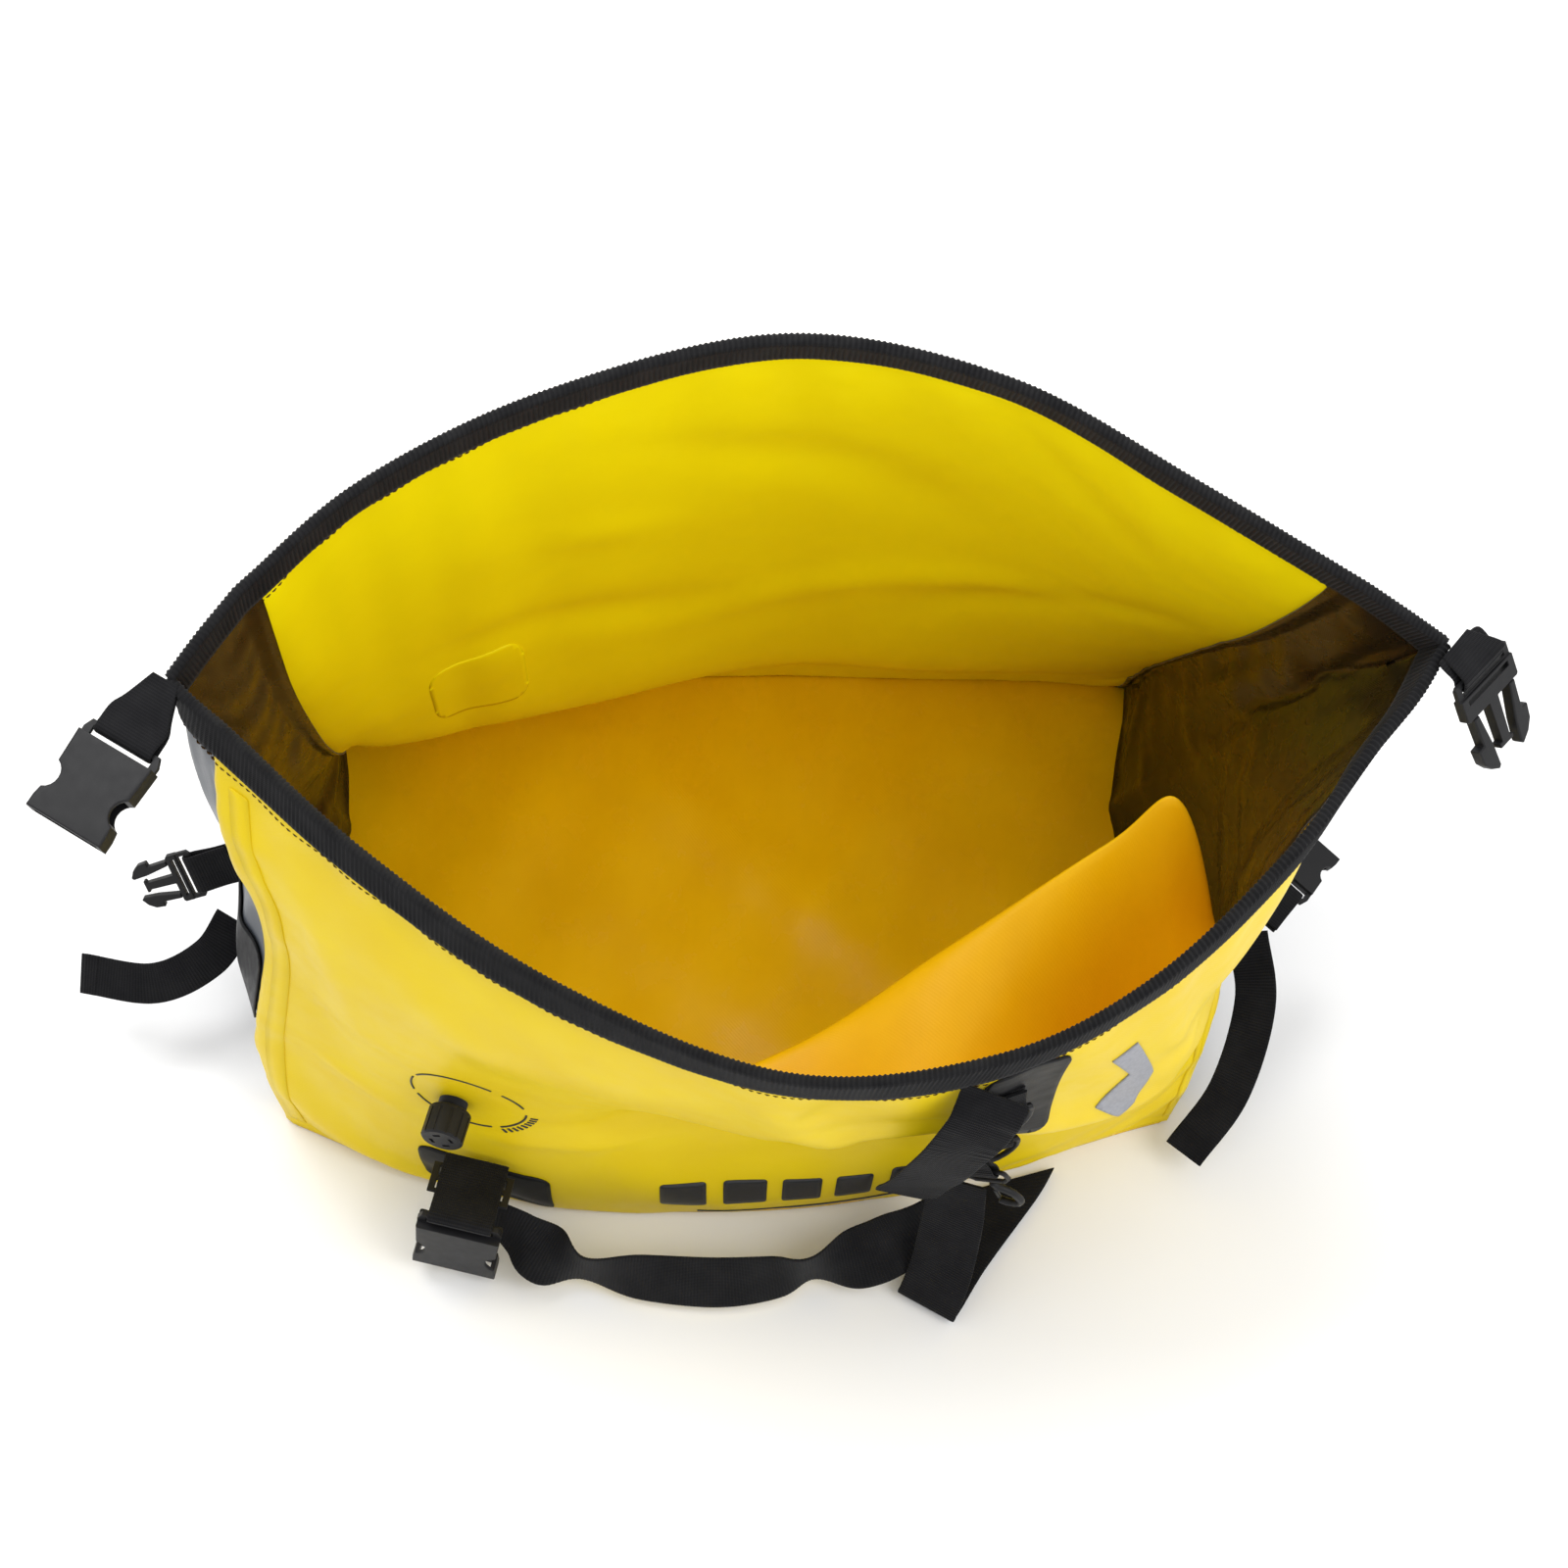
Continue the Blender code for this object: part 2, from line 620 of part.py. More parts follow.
def air_valve():
    place = valve_frame()
    bore = 0.005
    neck = NECK_RADIUS
    inside = -0.0050
    profile = [
        (bore, inside - 0.002), (FLANGE_RADIUS, inside - 0.002), (FLANGE_RADIUS, inside),
        (neck, inside + 0.0008), (neck, 0.011), (neck - 0.001, 0.012), (bore, 0.012),
    ]
    body = keep("valve_body", turned("valve_body", profile), plastic(), False)
    body.matrix_world = place
    seal = turned("valve_seal", [(0, 0.0124), (0.0078, 0.0124), (0.0078, 0.0138), (0, 0.0138)], 24)
    keep("valve_seal", seal, material("seal_rubber", RUBBER, 0.7), False).matrix_world = place
    top = 0.0035 + CAP_HEIGHT
    hollow = NECK_RADIUS + 0.0004
    profile = [
        (hollow, 0.0035), (CAP_RADIUS - 0.0006, 0.0035), (CAP_RADIUS, 0.0042), (CAP_RADIUS, top - 0.0012),
        (CAP_RADIUS - 0.0012, top), (0, top), (0, 0.0142), (hollow, 0.0142),
    ]
    cap = keep("valve_cap", turned("valve_cap", profile, 36), plastic(), False)
    cap.matrix_world = place
    for k in range(12):
        low, high = (CAP_RADIUS - 0.0005, -0.0008, 0.006), (CAP_RADIUS + 0.002, 0.0008, top + 0.001)
        groove = block(f"grip_{k}", low, high)
        combine(cap, cutter(f"grip_{k}", groove, place @ Matrix.Rotation(2 * pi * (k + 0.5) / 12, 4, "Z")))
    for k in range(4):
        vent = block(f"vent_{k}", (0.0052, -0.0024, top - 0.0015), (0.0072, 0.0024, top + 0.002))
        combine(cap, cutter(f"vent_{k}", vent, place @ Matrix.Rotation(pi / 2 * k + 0.4, 4, "Z")))


# ---- front-left handle anchor --------------------------------------------------------------------
def anchor_frame():
    return frame_of((-0.153, -0.2515, 0.068), (-0.12, 0.0, -0.99), (0.97, -0.2, -0.12))


def tri_glide(place, width):
    """The slider plate, held between the two layers of the anchor webbing. Its ends stand out past them."""
    half = width / 2 + 0.005
    reach = width / 2 + 0.001
    outline = rectangle((-0.0105, -half), (0.0105, half))
    slots = [rectangle((low, -reach), (low + 0.006, reach))[::-1] for low in (0.0018, -0.0078)]
    part = keep("tri_glide", plate_mesh("tri_glide", [outline] + slots, 0.0018, 0.0), plastic())
    part.matrix_world = place


def front_left():
    """The left strap anchor: webbing out of the panel, through its slider and round the buckle's bar."""
    place = anchor_frame()
    buckle_female("handle_buckle_female", WIDE, place)
    turn = BAR + 0.0010 + WEB / 2
    apart = 0.0022
    root = Vector((-0.150, -0.2085, 0.060))
    bar = place.translation
    side = place.to_3x3() @ Vector((0, 1, 0))
    forward = bar - root
    forward = (forward - side * forward.dot(side)).normalized()
    rise = side.cross(forward).normalized()
    if rise.z < 0:
        rise = -rise
    reach = (bar - root).dot(forward)
    local = [
        (-reach, apart), (-reach * 0.45, apart), (-0.0060, turn), (0, turn),
        (turn * 0.71, turn * 0.71), (turn, 0),
        (turn * 0.71, -turn * 0.71), (0, -turn), (-0.0060, -turn), (-reach * 0.45, -apart), (-reach, -apart),
    ]
    route = [bar + forward * a + rise * b for a, b in local]
    strip("handle_anchor_web", route, [WIDE] * len(route), [side] * len(route), splits=2)
    tri_glide(frame_of(bar - forward * reach * 0.62, forward, side), WIDE)


def carry_strap():
    """The webbing handle that lies along the foot of the front, with a twist near each end."""
    route = [
        (-0.160, -0.2150, 0.035), (-0.148, -0.2240, 0.036), (-0.135, -0.2340, 0.036),
        (-0.122, -0.2430, 0.034), (-0.106, -0.2550, 0.030), (-0.084, -0.2620, 0.026),
        (-0.050, -0.2670, 0.024), (-0.005, -0.2700, 0.023),
        (0.030, -0.2670, 0.024), (0.052, -0.2620, 0.026), (0.080, -0.2560, 0.028), (0.098, -0.2490, 0.030),
        (0.114, -0.2390, 0.034), (0.130, -0.2260, 0.038),
    ]
    sides = [
        (0, -0.05, 1.0), (0, 0.12, 0.99), (0.02, 0.20, 0.97), (0.05, 0.45, 0.89),
        (0.10, 0.80, 0.60), (0.0, -0.05, 1.0), (0.0, 0.35, 0.94), (0.0, 0.45, 0.89),
        (0.0, 0.30, 0.95), (0.0, -0.05, 1.0), (-0.08, 0.80, 0.60), (-0.10, 0.80, 0.58),
        (-0.06, 0.45, 0.88), (0, 0.20, 0.98),
    ]
    strip("carry_strap", route, [WIDE] * len(route), sides, splits=3)


# ---- front-right rings, hook and shoulder strap --------------------------------------------------
def ring_points(half_width, drop, corner, steps=5):
    """A D-ring's centre line: a straight bar on X at the origin and a round bow below it."""
    points = [(-half_width + 0.001, 0, 0), (half_width - 0.001, 0, 0)]
    for i in range(steps * 2 + 1):
        angle = radians(0 - 180 * i / (steps * 2))
        points.append((half_width * cos(angle), 0, -corner + (drop - corner) * sin(angle)))
    return points


def d_ring(name, place, half_width, drop):
    ring = wire(name, ring_points(half_width, drop, 0.004), 0.0019, plastic(), closed=True)
    ring.matrix_world = place
    return ring


def ring_frame(origin):
    """X along the ring's bar, Z up its face."""
    return Matrix.Translation(origin) @ Matrix.Rotation(radians(20), 4, "Z")


def ring_tab(name, place, width, climb, lean, sides=None):
    """A short webbing that holds a ring: up from its foot, round the bar and down again."""
    turn = 0.0019 + 0.0006 + WEB / 2
    route = [
        (0, 0.0026 + lean, climb), (0, 0.0026 + lean * 0.4, climb * 0.5), (0, turn, 0.004), (0, turn, 0),
        (0, turn * 0.71, -turn * 0.71), (0, 0, -turn), (0, -turn * 0.71, -turn * 0.71), (0, -turn, 0),
        (0, -turn, 0.004), (0, -0.0002 + lean * 0.4, climb * 0.5), (0, -0.0002 + lean, climb),
    ]
    points = [place @ Vector(p) for p in route]
    across = place.to_3x3() @ Vector((1, 0, 0))
    return strip(name, points, [width] * len(points), [across] * len(points), splits=2)


UPPER_RING_AT = Vector((0.155, -0.2460, 0.204))
LOWER_RING_AT = Vector((0.153, -0.2240, 0.114))


def front_right():
    upper, lower = ring_frame(UPPER_RING_AT), ring_frame(LOWER_RING_AT)
    d_ring("ring_upper", upper, 0.0165, 0.026)
    ring_tab("ring_tab_upper", upper, 0.025, 0.022, 0.0)
    d_ring("ring_lower", lower, 0.0165, 0.020)
    ring_tab("ring_tab_lower", lower, 0.025, 0.024, 0.0)


HOOK_AT = Vector((0.150, -0.2500, 0.128))


def hook_frame():
    return frame_of(HOOK_AT, (0.45, -0.05, -0.89), (0.85, -0.30, 0.43))


def snap_hook():
    """Swivel loop, hook body and sprung gate. +X runs from the swivel to the nose of the hook."""
    place = hook_frame()
    base = [
        (-0.0095, -0.0125, 0), (-0.0095, 0.0125, 0), (-0.0080, 0.0140, 0), (-0.0020, 0.0140, 0),
        (0.0030, 0.0090, 0), (0.0030, -0.0090, 0), (-0.0020, -0.0140, 0), (-0.0080, -0.0140, 0),
    ]
    swivel = wire("hook_swivel", base, 0.0015, plastic(), closed=True)
    swivel.matrix_world = place
    turn = 0.0015 + 0.0007 + WEB / 2
    route = [(-0.0270, 0, 0.0015), (-0.0180, 0, 0.0017), (-0.0135, 0, turn)]
    route += [(-0.0095 + turn * sin(a), 0, turn * cos(a)) for a in (0, pi / 4, pi / 2, 3 * pi / 4, pi)]
    route += [(-0.0135, 0, -turn), (-0.0180, 0, -0.0017), (-0.0270, 0, -0.0015)]
    across = place.to_3x3() @ Vector((0, 1, 0))
    points = [place @ Vector(p) for p in route]
    strip("hook_web", points, [0.020] * len(points), [across] * len(points), splits=2)
    route = [(0.0062, 0, 0), (0.0120, 0, 0), (0.0150, 0.0040, 0), (0.0200, 0.0072, 0), (0.0270, 0.0078, 0)]
    nose = [radians(a) for a in (60, 30, 0, -30, -60)]
    route += [(0.0270 + 0.0078 * cos(a), 0.0078 * sin(a), 0) for a in nose]
    body = wire("hook_body", route, 0.0024, plastic())
    body.matrix_world = place
    gate = wire("hook_gate", [(-0.0002, 0, 0), (0.0050, -0.0012, 0), (0.0104, -0.0022, 0)], 0.0013, plastic())
    gate.matrix_world = place @ Matrix.Translation((0.0168, -0.0034, 0))


def shoulder_strap():
    """The strap's fold below the upper ring, and its flat hanging loop that returns under the bag."""
    strip(
        "shoulder_strap_upper",
        [(0.142, -0.2590, 0.236), (0.131, -0.2615, 0.200), (0.116, -0.2570, 0.150), (0.107, -0.2460, 0.105),
         (0.104, -0.2400, 0.082)],
        [WIDE, WIDE, WIDE, WIDE, WIDE * 0.9],
        [(0.90, 0.10, 0.42), (0.88, -0.05, 0.47), (0.86, -0.15, 0.48), (0.84, -0.22, 0.50),
         (0.80, -0.30, 0.52)],
    )
    across = (0.87, -0.49, 0)
    strip(
        "shoulder_strap_lower",
        [(0.1340, -0.2425, 0.106), (0.1320, -0.2515, 0.075), (0.1265, -0.2660, 0.036),
         (0.1190, -0.2775, 0.0105), (0.1185, -0.2760, 0.0050), (0.1240, -0.2690, 0.0045),
         (0.1480, -0.2440, 0.0045), (0.1800, -0.2160, 0.0045), (0.2100, -0.1930, 0.0045)],
        [WIDE * 0.88, WIDE * 0.96] + [WIDE] * 7,
        [(0.84, -0.2, -0.1), (0.86, -0.35, -0.05), across, across, across, across, (0.85, -0.52, 0),
         (0.8, -0.6, 0), (0.74, -0.67, 0)],
        splits=2,
    )


BAG = bpy.data.collections.new("dry_bag")
TOOLS = bpy.data.collections.new("cutters")


def build():
    clear_scene()
    bpy.context.scene.collection.children.link(BAG)
    bpy.context.scene.collection.children.link(TOOLS)
    TOOLS.hide_render = True
    base_panel()
    walls()
    bindings()
    mouth_hardware()
    side_hardware()
    patches()
    air_valve()
    front_left()
    carry_strap()
    front_right()
    snap_hook()
    shoulder_strap()


build()
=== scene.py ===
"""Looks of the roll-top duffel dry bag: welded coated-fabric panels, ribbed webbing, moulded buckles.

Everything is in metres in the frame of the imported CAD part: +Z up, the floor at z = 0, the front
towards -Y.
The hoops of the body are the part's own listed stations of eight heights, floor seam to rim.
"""

from math import cos, pi, radians, sin

import bmesh
import bpy
import numpy as np
from mathutils import Matrix, Vector


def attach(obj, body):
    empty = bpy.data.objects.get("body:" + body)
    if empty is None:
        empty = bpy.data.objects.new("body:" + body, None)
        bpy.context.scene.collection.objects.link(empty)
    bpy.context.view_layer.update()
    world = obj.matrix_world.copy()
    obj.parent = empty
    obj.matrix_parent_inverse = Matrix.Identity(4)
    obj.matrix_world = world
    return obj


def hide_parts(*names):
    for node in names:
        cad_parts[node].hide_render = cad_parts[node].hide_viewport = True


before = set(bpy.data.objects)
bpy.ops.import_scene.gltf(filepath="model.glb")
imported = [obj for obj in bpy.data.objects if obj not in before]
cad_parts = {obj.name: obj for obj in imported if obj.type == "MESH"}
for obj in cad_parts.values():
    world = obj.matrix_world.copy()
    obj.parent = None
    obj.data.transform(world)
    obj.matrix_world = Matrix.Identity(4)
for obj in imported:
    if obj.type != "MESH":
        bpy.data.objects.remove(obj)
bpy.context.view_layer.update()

# ---- driving sizes ------------------------------------------------------------------------------
FABRIC = 0.0009              # coated fabric
LAP = 2                      # fine columns by which two welded panels overlap
FINE = 14                    # fine steps between two listed stations
COARSE = 7                   # steps of the simulated cloth between two stations
SAG_LIMIT = 0.005            # how far the simulation may move the fabric
BINDING_LEG = 0.0185         # how far the binding reaches down each side of the rim
BINDING_CLEAR = 0.0016       # room between the fabric and the binding
BINDING_SKIN = 0.0013        # thickness of the binding's webbing
RIB = 0.0030                 # pitch of the binding's ribs
STITCH = (0.0030, 0.0016)    # a stitch and the space after it
WEB = 0.0016                 # thickness of the straps' webbing
WEAVE = 0.0018               # pitch of the webbing's weft ribs
WIDE = 0.038                 # mouth, handle and shoulder webbing
NARROW = 0.025               # side webbing
EDGE = 0.00045               # rounding on the moulded parts' edges
CAMERA_RISE = radians(60)    # the camera's angle above the horizon
CAMERA_REACH = 2.2           # its distance from the bag

# ---- the hoops of the body, floor seam to rim ----------------------------------------------------
FRONT = [
    [(-.268, -.155, .003), (-.273, -.152, .04), (-.274, -.149, .10), (-.266, -.147, .15),
     (-.258, -.143, .20), (-.258, -.139, .25), (-.270, -.122, .30), (-.268, -.088, .356)],
    [(-.185, -.190, .003), (-.190, -.196, .04), (-.190, -.194, .09), (-.190, -.194, .14),
     (-.188, -.197, .19), (-.187, -.196, .24), (-.187, -.183, .29), (-.190, -.158, .340)],
    [(-.085, -.212, .003), (-.088, -.218, .03), (-.089, -.212, .075), (-.090, -.207, .12),
     (-.090, -.218, .165), (-.090, -.234, .215), (-.090, -.233, .265), (-.090, -.220, .310)],
    [(.030, -.214, .003), (.030, -.220, .03), (.032, -.203, .08), (.034, -.172, .140),
     (.035, -.230, .135), (.035, -.242, .175), (.035, -.249, .22), (.035, -.254, .265)],
    [(.120, -.200, .003), (.125, -.206, .03), (.130, -.192, .08), (.126, -.134, .192),
     (.125, -.236, .165), (.129, -.243, .195), (.137, -.246, .228), (.150, -.243, .265)],
    [(.200, -.176, .003), (.206, -.181, .03), (.213, -.170, .08), (.215, -.102, .255),
     (.221, -.190, .108), (.224, -.201, .165), (.227, -.209, .232), (.232, -.216, .303)],
    [(.240, -.163, .003), (.247, -.166, .033), (.256, -.156, .08), (.254, -.094, .285),
     (.262, -.166, .130), (.271, -.173, .19), (.286, -.176, .265), (.303, -.163, .350)],
    [(.268, -.155, .003), (.276, -.150, .035), (.284, -.141, .085), (.288, -.134, .16),
     (.291, -.128, .21), (.300, -.126, .26), (.321, -.116, .315), (.350, -.103, .362)],
]
RIGHT_FRONT = [
    [(.256, -.050, .003), (.283, -.060, .045), (.293, -.065, .095), (.295, -.070, .15),
     (.300, -.075, .21), (.317, -.075, .27), (.345, -.078, .325), (.374, -.074, .367)],
]
RIGHT_CORNER = [(.240, .060, .003), (.258, .050, .045), (.280, .030, .095), (.295, .015, .15),
                (.310, .000, .21), (.335, -.015, .27), (.365, -.030, .325), (.391, -.045, .370)]
RIGHT_BACK = [
    [(.248, .108, .003), (.258, .095, .045), (.274, .073, .092), (.288, .050, .15),
     (.303, .027, .21), (.325, .003, .27), (.350, -.020, .335), (.370, -.040, .387)],
]
BACK = [
    [(.256, .152, .003), (.260, .135, .04), (.268, .115, .09), (.280, .085, .15),
     (.294, .054, .21), (.310, .022, .27), (.328, -.008, .34), (.345, -.033, .405)],
    [(.200, .158, .003), (.200, .147, .04), (.205, .122, .08), (.213, .097, .15),
     (.222, .072, .23), (.232, .045, .31), (.241, .020, .385), (.250, -.002, .457)],
    [(.120, .160, .003), (.120, .151, .04), (.122, .127, .075), (.125, .113, .16),
     (.130, .100, .25), (.137, .080, .34), (.144, .055, .43), (.150, .028, .507)],
    [(.030, .162, .003), (.030, .155, .04), (.030, .131, .075), (.031, .118, .16),
     (.032, .105, .25), (.033, .088, .34), (.034, .068, .43), (.035, .048, .517)],
    [(-.085, .160, .003), (-.085, .149, .04), (-.085, .100, .075), (-.086, .085, .16),
     (-.087, .075, .25), (-.088, .063, .33), (-.089, .050, .41), (-.090, .039, .480)],
    [(-.180, .157, .003), (-.180, .141, .04), (-.180, .070, .085), (-.180, .045, .16),
     (-.182, .035, .23), (-.184, .028, .30), (-.187, .022, .37), (-.190, .015, .432)],
    [(-.256, .152, .003), (-.253, .132, .04), (-.243, .055, .09), (-.245, .020, .15),
     (-.250, .000, .21), (-.254, -.015, .27), (-.256, -.022, .33), (-.258, -.024, .390)],
]
LEFT_BACK = [
    [(-.246, .100, .003), (-.250, .086, .045), (-.258, .024, .095), (-.262, .000, .15),
     (-.263, -.015, .21), (-.266, -.028, .27), (-.272, -.038, .33), (-.279, -.045, .376)],
]
LEFT_CORNER = [(-.238, .045, .003), (-.250, .030, .045), (-.272, -.010, .095), (-.280, -.025, .15),
               (-.275, -.035, .21), (-.278, -.045, .27), (-.288, -.055, .32), (-.297, -.062, .360)]
LEFT_FRONT = [
    [(-.258, -.060, .003), (-.280, -.080, .045), (-.289, -.090, .095), (-.285, -.095, .15),
     (-.275, -.090, .21), (-.280, -.088, .26), (-.290, -.080, .31), (-.285, -.074, .358)],
]
SPANS = {
    "front": FRONT,
    "right_front": [FRONT[-1]] + RIGHT_FRONT + [RIGHT_CORNER],
    "right_back": [RIGHT_CORNER] + RIGHT_BACK + [BACK[0]],
    "back": BACK,
    "left_back": [BACK[-1]] + LEFT_BACK + [LEFT_CORNER],
    "left_front": [LEFT_CORNER] + LEFT_FRONT + [FRONT[0]],
}


# ---- camera and light ----------------------------------------------------------------------------
def studio():
    """Soft boxes above, a white world and a camera high in front of the bag."""
    target = Vector((0.0345, -0.0345, 0.20))
    camera = bpy.data.cameras.new("camera")
    camera.lens = 87.5
    camera.sensor_width = 36
    holder = bpy.data.objects.new("camera", camera)
    bpy.context.scene.collection.objects.link(holder)
    back = Vector((0, -cos(CAMERA_RISE), sin(CAMERA_RISE)))
    holder.location = target + back * CAMERA_REACH
    holder.rotation_euler = (-back).to_track_quat("-Z", "Y").to_euler()
    bpy.context.scene.camera = holder
    bpy.context.scene.view_settings.view_transform = "Standard"  # keeps the strong yellow from washing out
    soft_box("key", (-0.9, 0.5, 1.9), 1.1, 20)
    soft_box("fill", (1.2, -0.9, 1.5), 1.2, 13)
    soft_box("overhead", (0.25, 1.0, 2.2), 0.7, 12)
    world = bpy.data.worlds.new("studio")
    bpy.context.scene.world = world
    world.use_nodes = True
    world.node_tree.nodes["Background"].inputs["Color"].default_value = (1, 1, 1, 1)
    world.node_tree.nodes["Background"].inputs["Strength"].default_value = 0.92


def soft_box(name, place, size, power):
    light = bpy.data.lights.new(name, "AREA")
    light.shape = "DISK"
    light.size = size
    light.energy = power
    holder = bpy.data.objects.new(name, light)
    bpy.context.scene.collection.objects.link(holder)
    holder.location = place
    aim = Vector((0.03, -0.03, 0.15)) - Vector(place)
    holder.rotation_euler = aim.to_track_quat("-Z", "Y").to_euler()


def floor():
    shape = bmesh.new()
    bmesh.ops.create_circle(shape, cap_ends=True, radius=6, segments=64)
    mesh = bpy.data.meshes.new("studio_floor")
    shape.to_mesh(mesh)
    shape.free()
    ground = bpy.data.objects.new("studio_floor", mesh)
    bpy.context.scene.collection.objects.link(ground)
    ground.location.z = -0.0003
    look = bpy.data.materials.new("studio_floor")
    look.use_nodes = True
    shader = look.node_tree.nodes["Principled BSDF"]
    shader.inputs["Base Color"].default_value = (0.90, 0.90, 0.90, 1)
    shader.inputs["Roughness"].default_value = 0.6
    mesh.materials.append(look)


# ---- materials -----------------------------------------------------------------------------------
class Look:
    """A material with short names for the nodes that its recipe uses."""

    def __init__(self, name, roughness, metallic=0.0, specular=0.5, coat=0.0):
        self.material = bpy.data.materials.new(name)
        self.material.use_nodes = True
        self.tree = self.material.node_tree
        self.shader = self.tree.nodes["Principled BSDF"]
        self.shader.inputs["Roughness"].default_value = roughness
        self.shader.inputs["Metallic"].default_value = metallic
        self.shader.inputs["Specular IOR Level"].default_value = specular
        self.shader.inputs["Coat Weight"].default_value = coat
        self.shader.inputs["Coat Roughness"].default_value = 0.25
        self.height = None

    def node(self, kind, **inputs):
        made = self.tree.nodes.new(kind)
        for name, value in inputs.items():
            socket = made.inputs[name.replace("_", " ")]
            if isinstance(value, bpy.types.NodeSocket):
                self.tree.links.new(value, socket)
            else:
                socket.default_value = value
        return made

    def place(self):
        return self.node("ShaderNodeTexCoord").outputs["Object"]

    def cloth(self):
        """The point's place on the flat fabric, in metres."""
        made = self.node("ShaderNodeAttribute")
        made.attribute_name = "cloth"
        return made.outputs["Vector"]

    def noise(self, vector, scale, detail=3.0):
        return self.node("ShaderNodeTexNoise", Vector=vector, Scale=scale, Detail=detail).outputs["Fac"]

    def maths(self, operation, a, b=0.0):
        made = self.tree.nodes.new("ShaderNodeMath")
        made.operation = operation
        for socket, value in zip(made.inputs, (a, b)):
            if isinstance(value, bpy.types.NodeSocket):
                self.tree.links.new(value, socket)
            else:
                socket.default_value = value
        return made.outputs[0]

    def spread(self, value, low, high, to_low, to_high):
        made = self.node("ShaderNodeMapRange", Value=value)
        made.inputs["From Min"].default_value = low
        made.inputs["From Max"].default_value = high
        made.inputs["To Min"].default_value = to_low
        made.inputs["To Max"].default_value = to_high
        return made.outputs["Result"]

    def colour(self, factor, stops):
        ramp = self.node("ShaderNodeValToRGB", Fac=factor)
        elements = ramp.color_ramp.elements
        while len(elements) < len(stops):
            elements.new(0.5)
        for element, (position, tone) in zip(elements, stops):
            element.position = position
            element.color = (*tone, 1)
        self.tree.links.new(ramp.outputs["Color"], self.shader.inputs["Base Color"])

    def rough(self, value):
        self.tree.links.new(value, self.shader.inputs["Roughness"])

    def bump(self, height, distance, strength=1.0):
        made = self.node("ShaderNodeBump", Height=height)
        made.inputs["Distance"].default_value = distance
        made.inputs["Strength"].default_value = strength
        if self.height:
            self.tree.links.new(self.height, made.inputs["Normal"])
        self.height = made.outputs["Normal"]
        self.tree.links.new(self.height, self.shader.inputs["Normal"])

    def grid(self, pitch_u, pitch_v):
        """A plain weave's height: threads over and under along both ways of the fabric."""
        split = self.node("ShaderNodeSeparateXYZ", Vector=self.cloth())
        along = self.maths("SINE", self.maths("MULTIPLY", split.outputs["X"], 2 * pi / pitch_u))
        across = self.maths("SINE", self.maths("MULTIPLY", split.outputs["Y"], 2 * pi / pitch_v))
        return self.maths("MULTIPLY", along, across), along, across


def coated(name, light, dark, roughness, coat=0.12, specular=0.5):
    """PVC-coated fabric: a faint woven grain under a smooth coat, with soft mottling and rub marks."""
    look = Look(name, roughness, coat=coat, specular=specular)
    mottle = look.noise(look.cloth(), 16.0)
    look.colour(mottle, [(0.32, dark), (0.68, light)])
    worn = look.noise(look.cloth(), 55.0, 6.0)
    look.rough(look.spread(worn, 0.3, 0.7, roughness - 0.07, roughness + 0.08))
    weave, _, _ = look.grid(0.0020, 0.0020)
    look.bump(weave, 0.00004, 0.6)
    look.bump(look.noise(look.cloth(), 90.0, 5.0), 0.00025, 0.35)
    look.bump(look.noise(look.cloth(), 22.0, 2.0), 0.0012, 0.30)
    return look.material


def woven(name, light, dark, pitch):
    """Polyester webbing: weft ribs across, fine warp lines along, fuzzy and almost matt."""
    look = Look(name, 0.74, specular=0.12)
    split = look.node("ShaderNodeSeparateXYZ", Vector=look.cloth())
    weft = look.maths("SINE", look.maths("MULTIPLY", split.outputs["X"], 2 * pi / pitch))
    warp = look.maths("SINE", look.maths("MULTIPLY", split.outputs["Y"], 2 * pi / 0.0011))
    height = look.maths("ADD", look.maths("MULTIPLY", weft, 0.6), look.maths("MULTIPLY", warp, 0.4))
    tone = look.maths("ADD", look.maths("MULTIPLY", height, 0.25), look.noise(look.cloth(), 60.0))
    look.colour(tone, [(0.25, dark), (0.85, light)])
    look.bump(height, 0.00018, 0.8)
    look.bump(look.noise(look.cloth(), 1400.0, 2.0), 0.00008, 0.5)
    look.shader.inputs["Sheen Weight"].default_value = 0.06
    look.shader.inputs["Sheen Roughness"].default_value = 0.4
    return look.material


def moulded(name, light, dark, roughness):
    """Injection-moulded acetal: fine spark texture, faint flow marks and rubbed spots."""
    look = Look(name, roughness, specular=0.22)
    flow = look.noise(look.place(), 45.0, 4.0)
    look.colour(flow, [(0.3, dark), (0.75, light)])
    worn = look.noise(look.place(), 160.0, 3.0)
    look.rough(look.spread(worn, 0.3, 0.7, roughness - 0.03, roughness + 0.04))
    look.bump(look.noise(look.place(), 2600.0, 2.0), 0.00006, 0.55)
    return look.material


def reflective(name):
    """Glass-bead reflective film: grey, a little metallic, with a faint honeycomb grid."""
    look = Look(name, 0.38, metallic=0.25)
    cells = look.node("ShaderNodeTexVoronoi", Vector=look.cloth(), Scale=420.0)
    look.colour(cells.outputs["Distance"], [(0.1, (0.33, 0.34, 0.38)), (0.8, (0.26, 0.27, 0.31))])
    look.bump(cells.outputs["Distance"], 0.00006, 0.4)
    return look.material


def printed(name, tone):
    look = Look(name, 0.42)
    look.colour(look.noise(look.cloth(), 300.0, 4.0), [(0.3, tone), (0.8, tuple(1.5 * c for c in tone))])
    look.bump(look.noise(look.cloth(), 800.0, 2.0), 0.00004, 0.4)
    return look.material


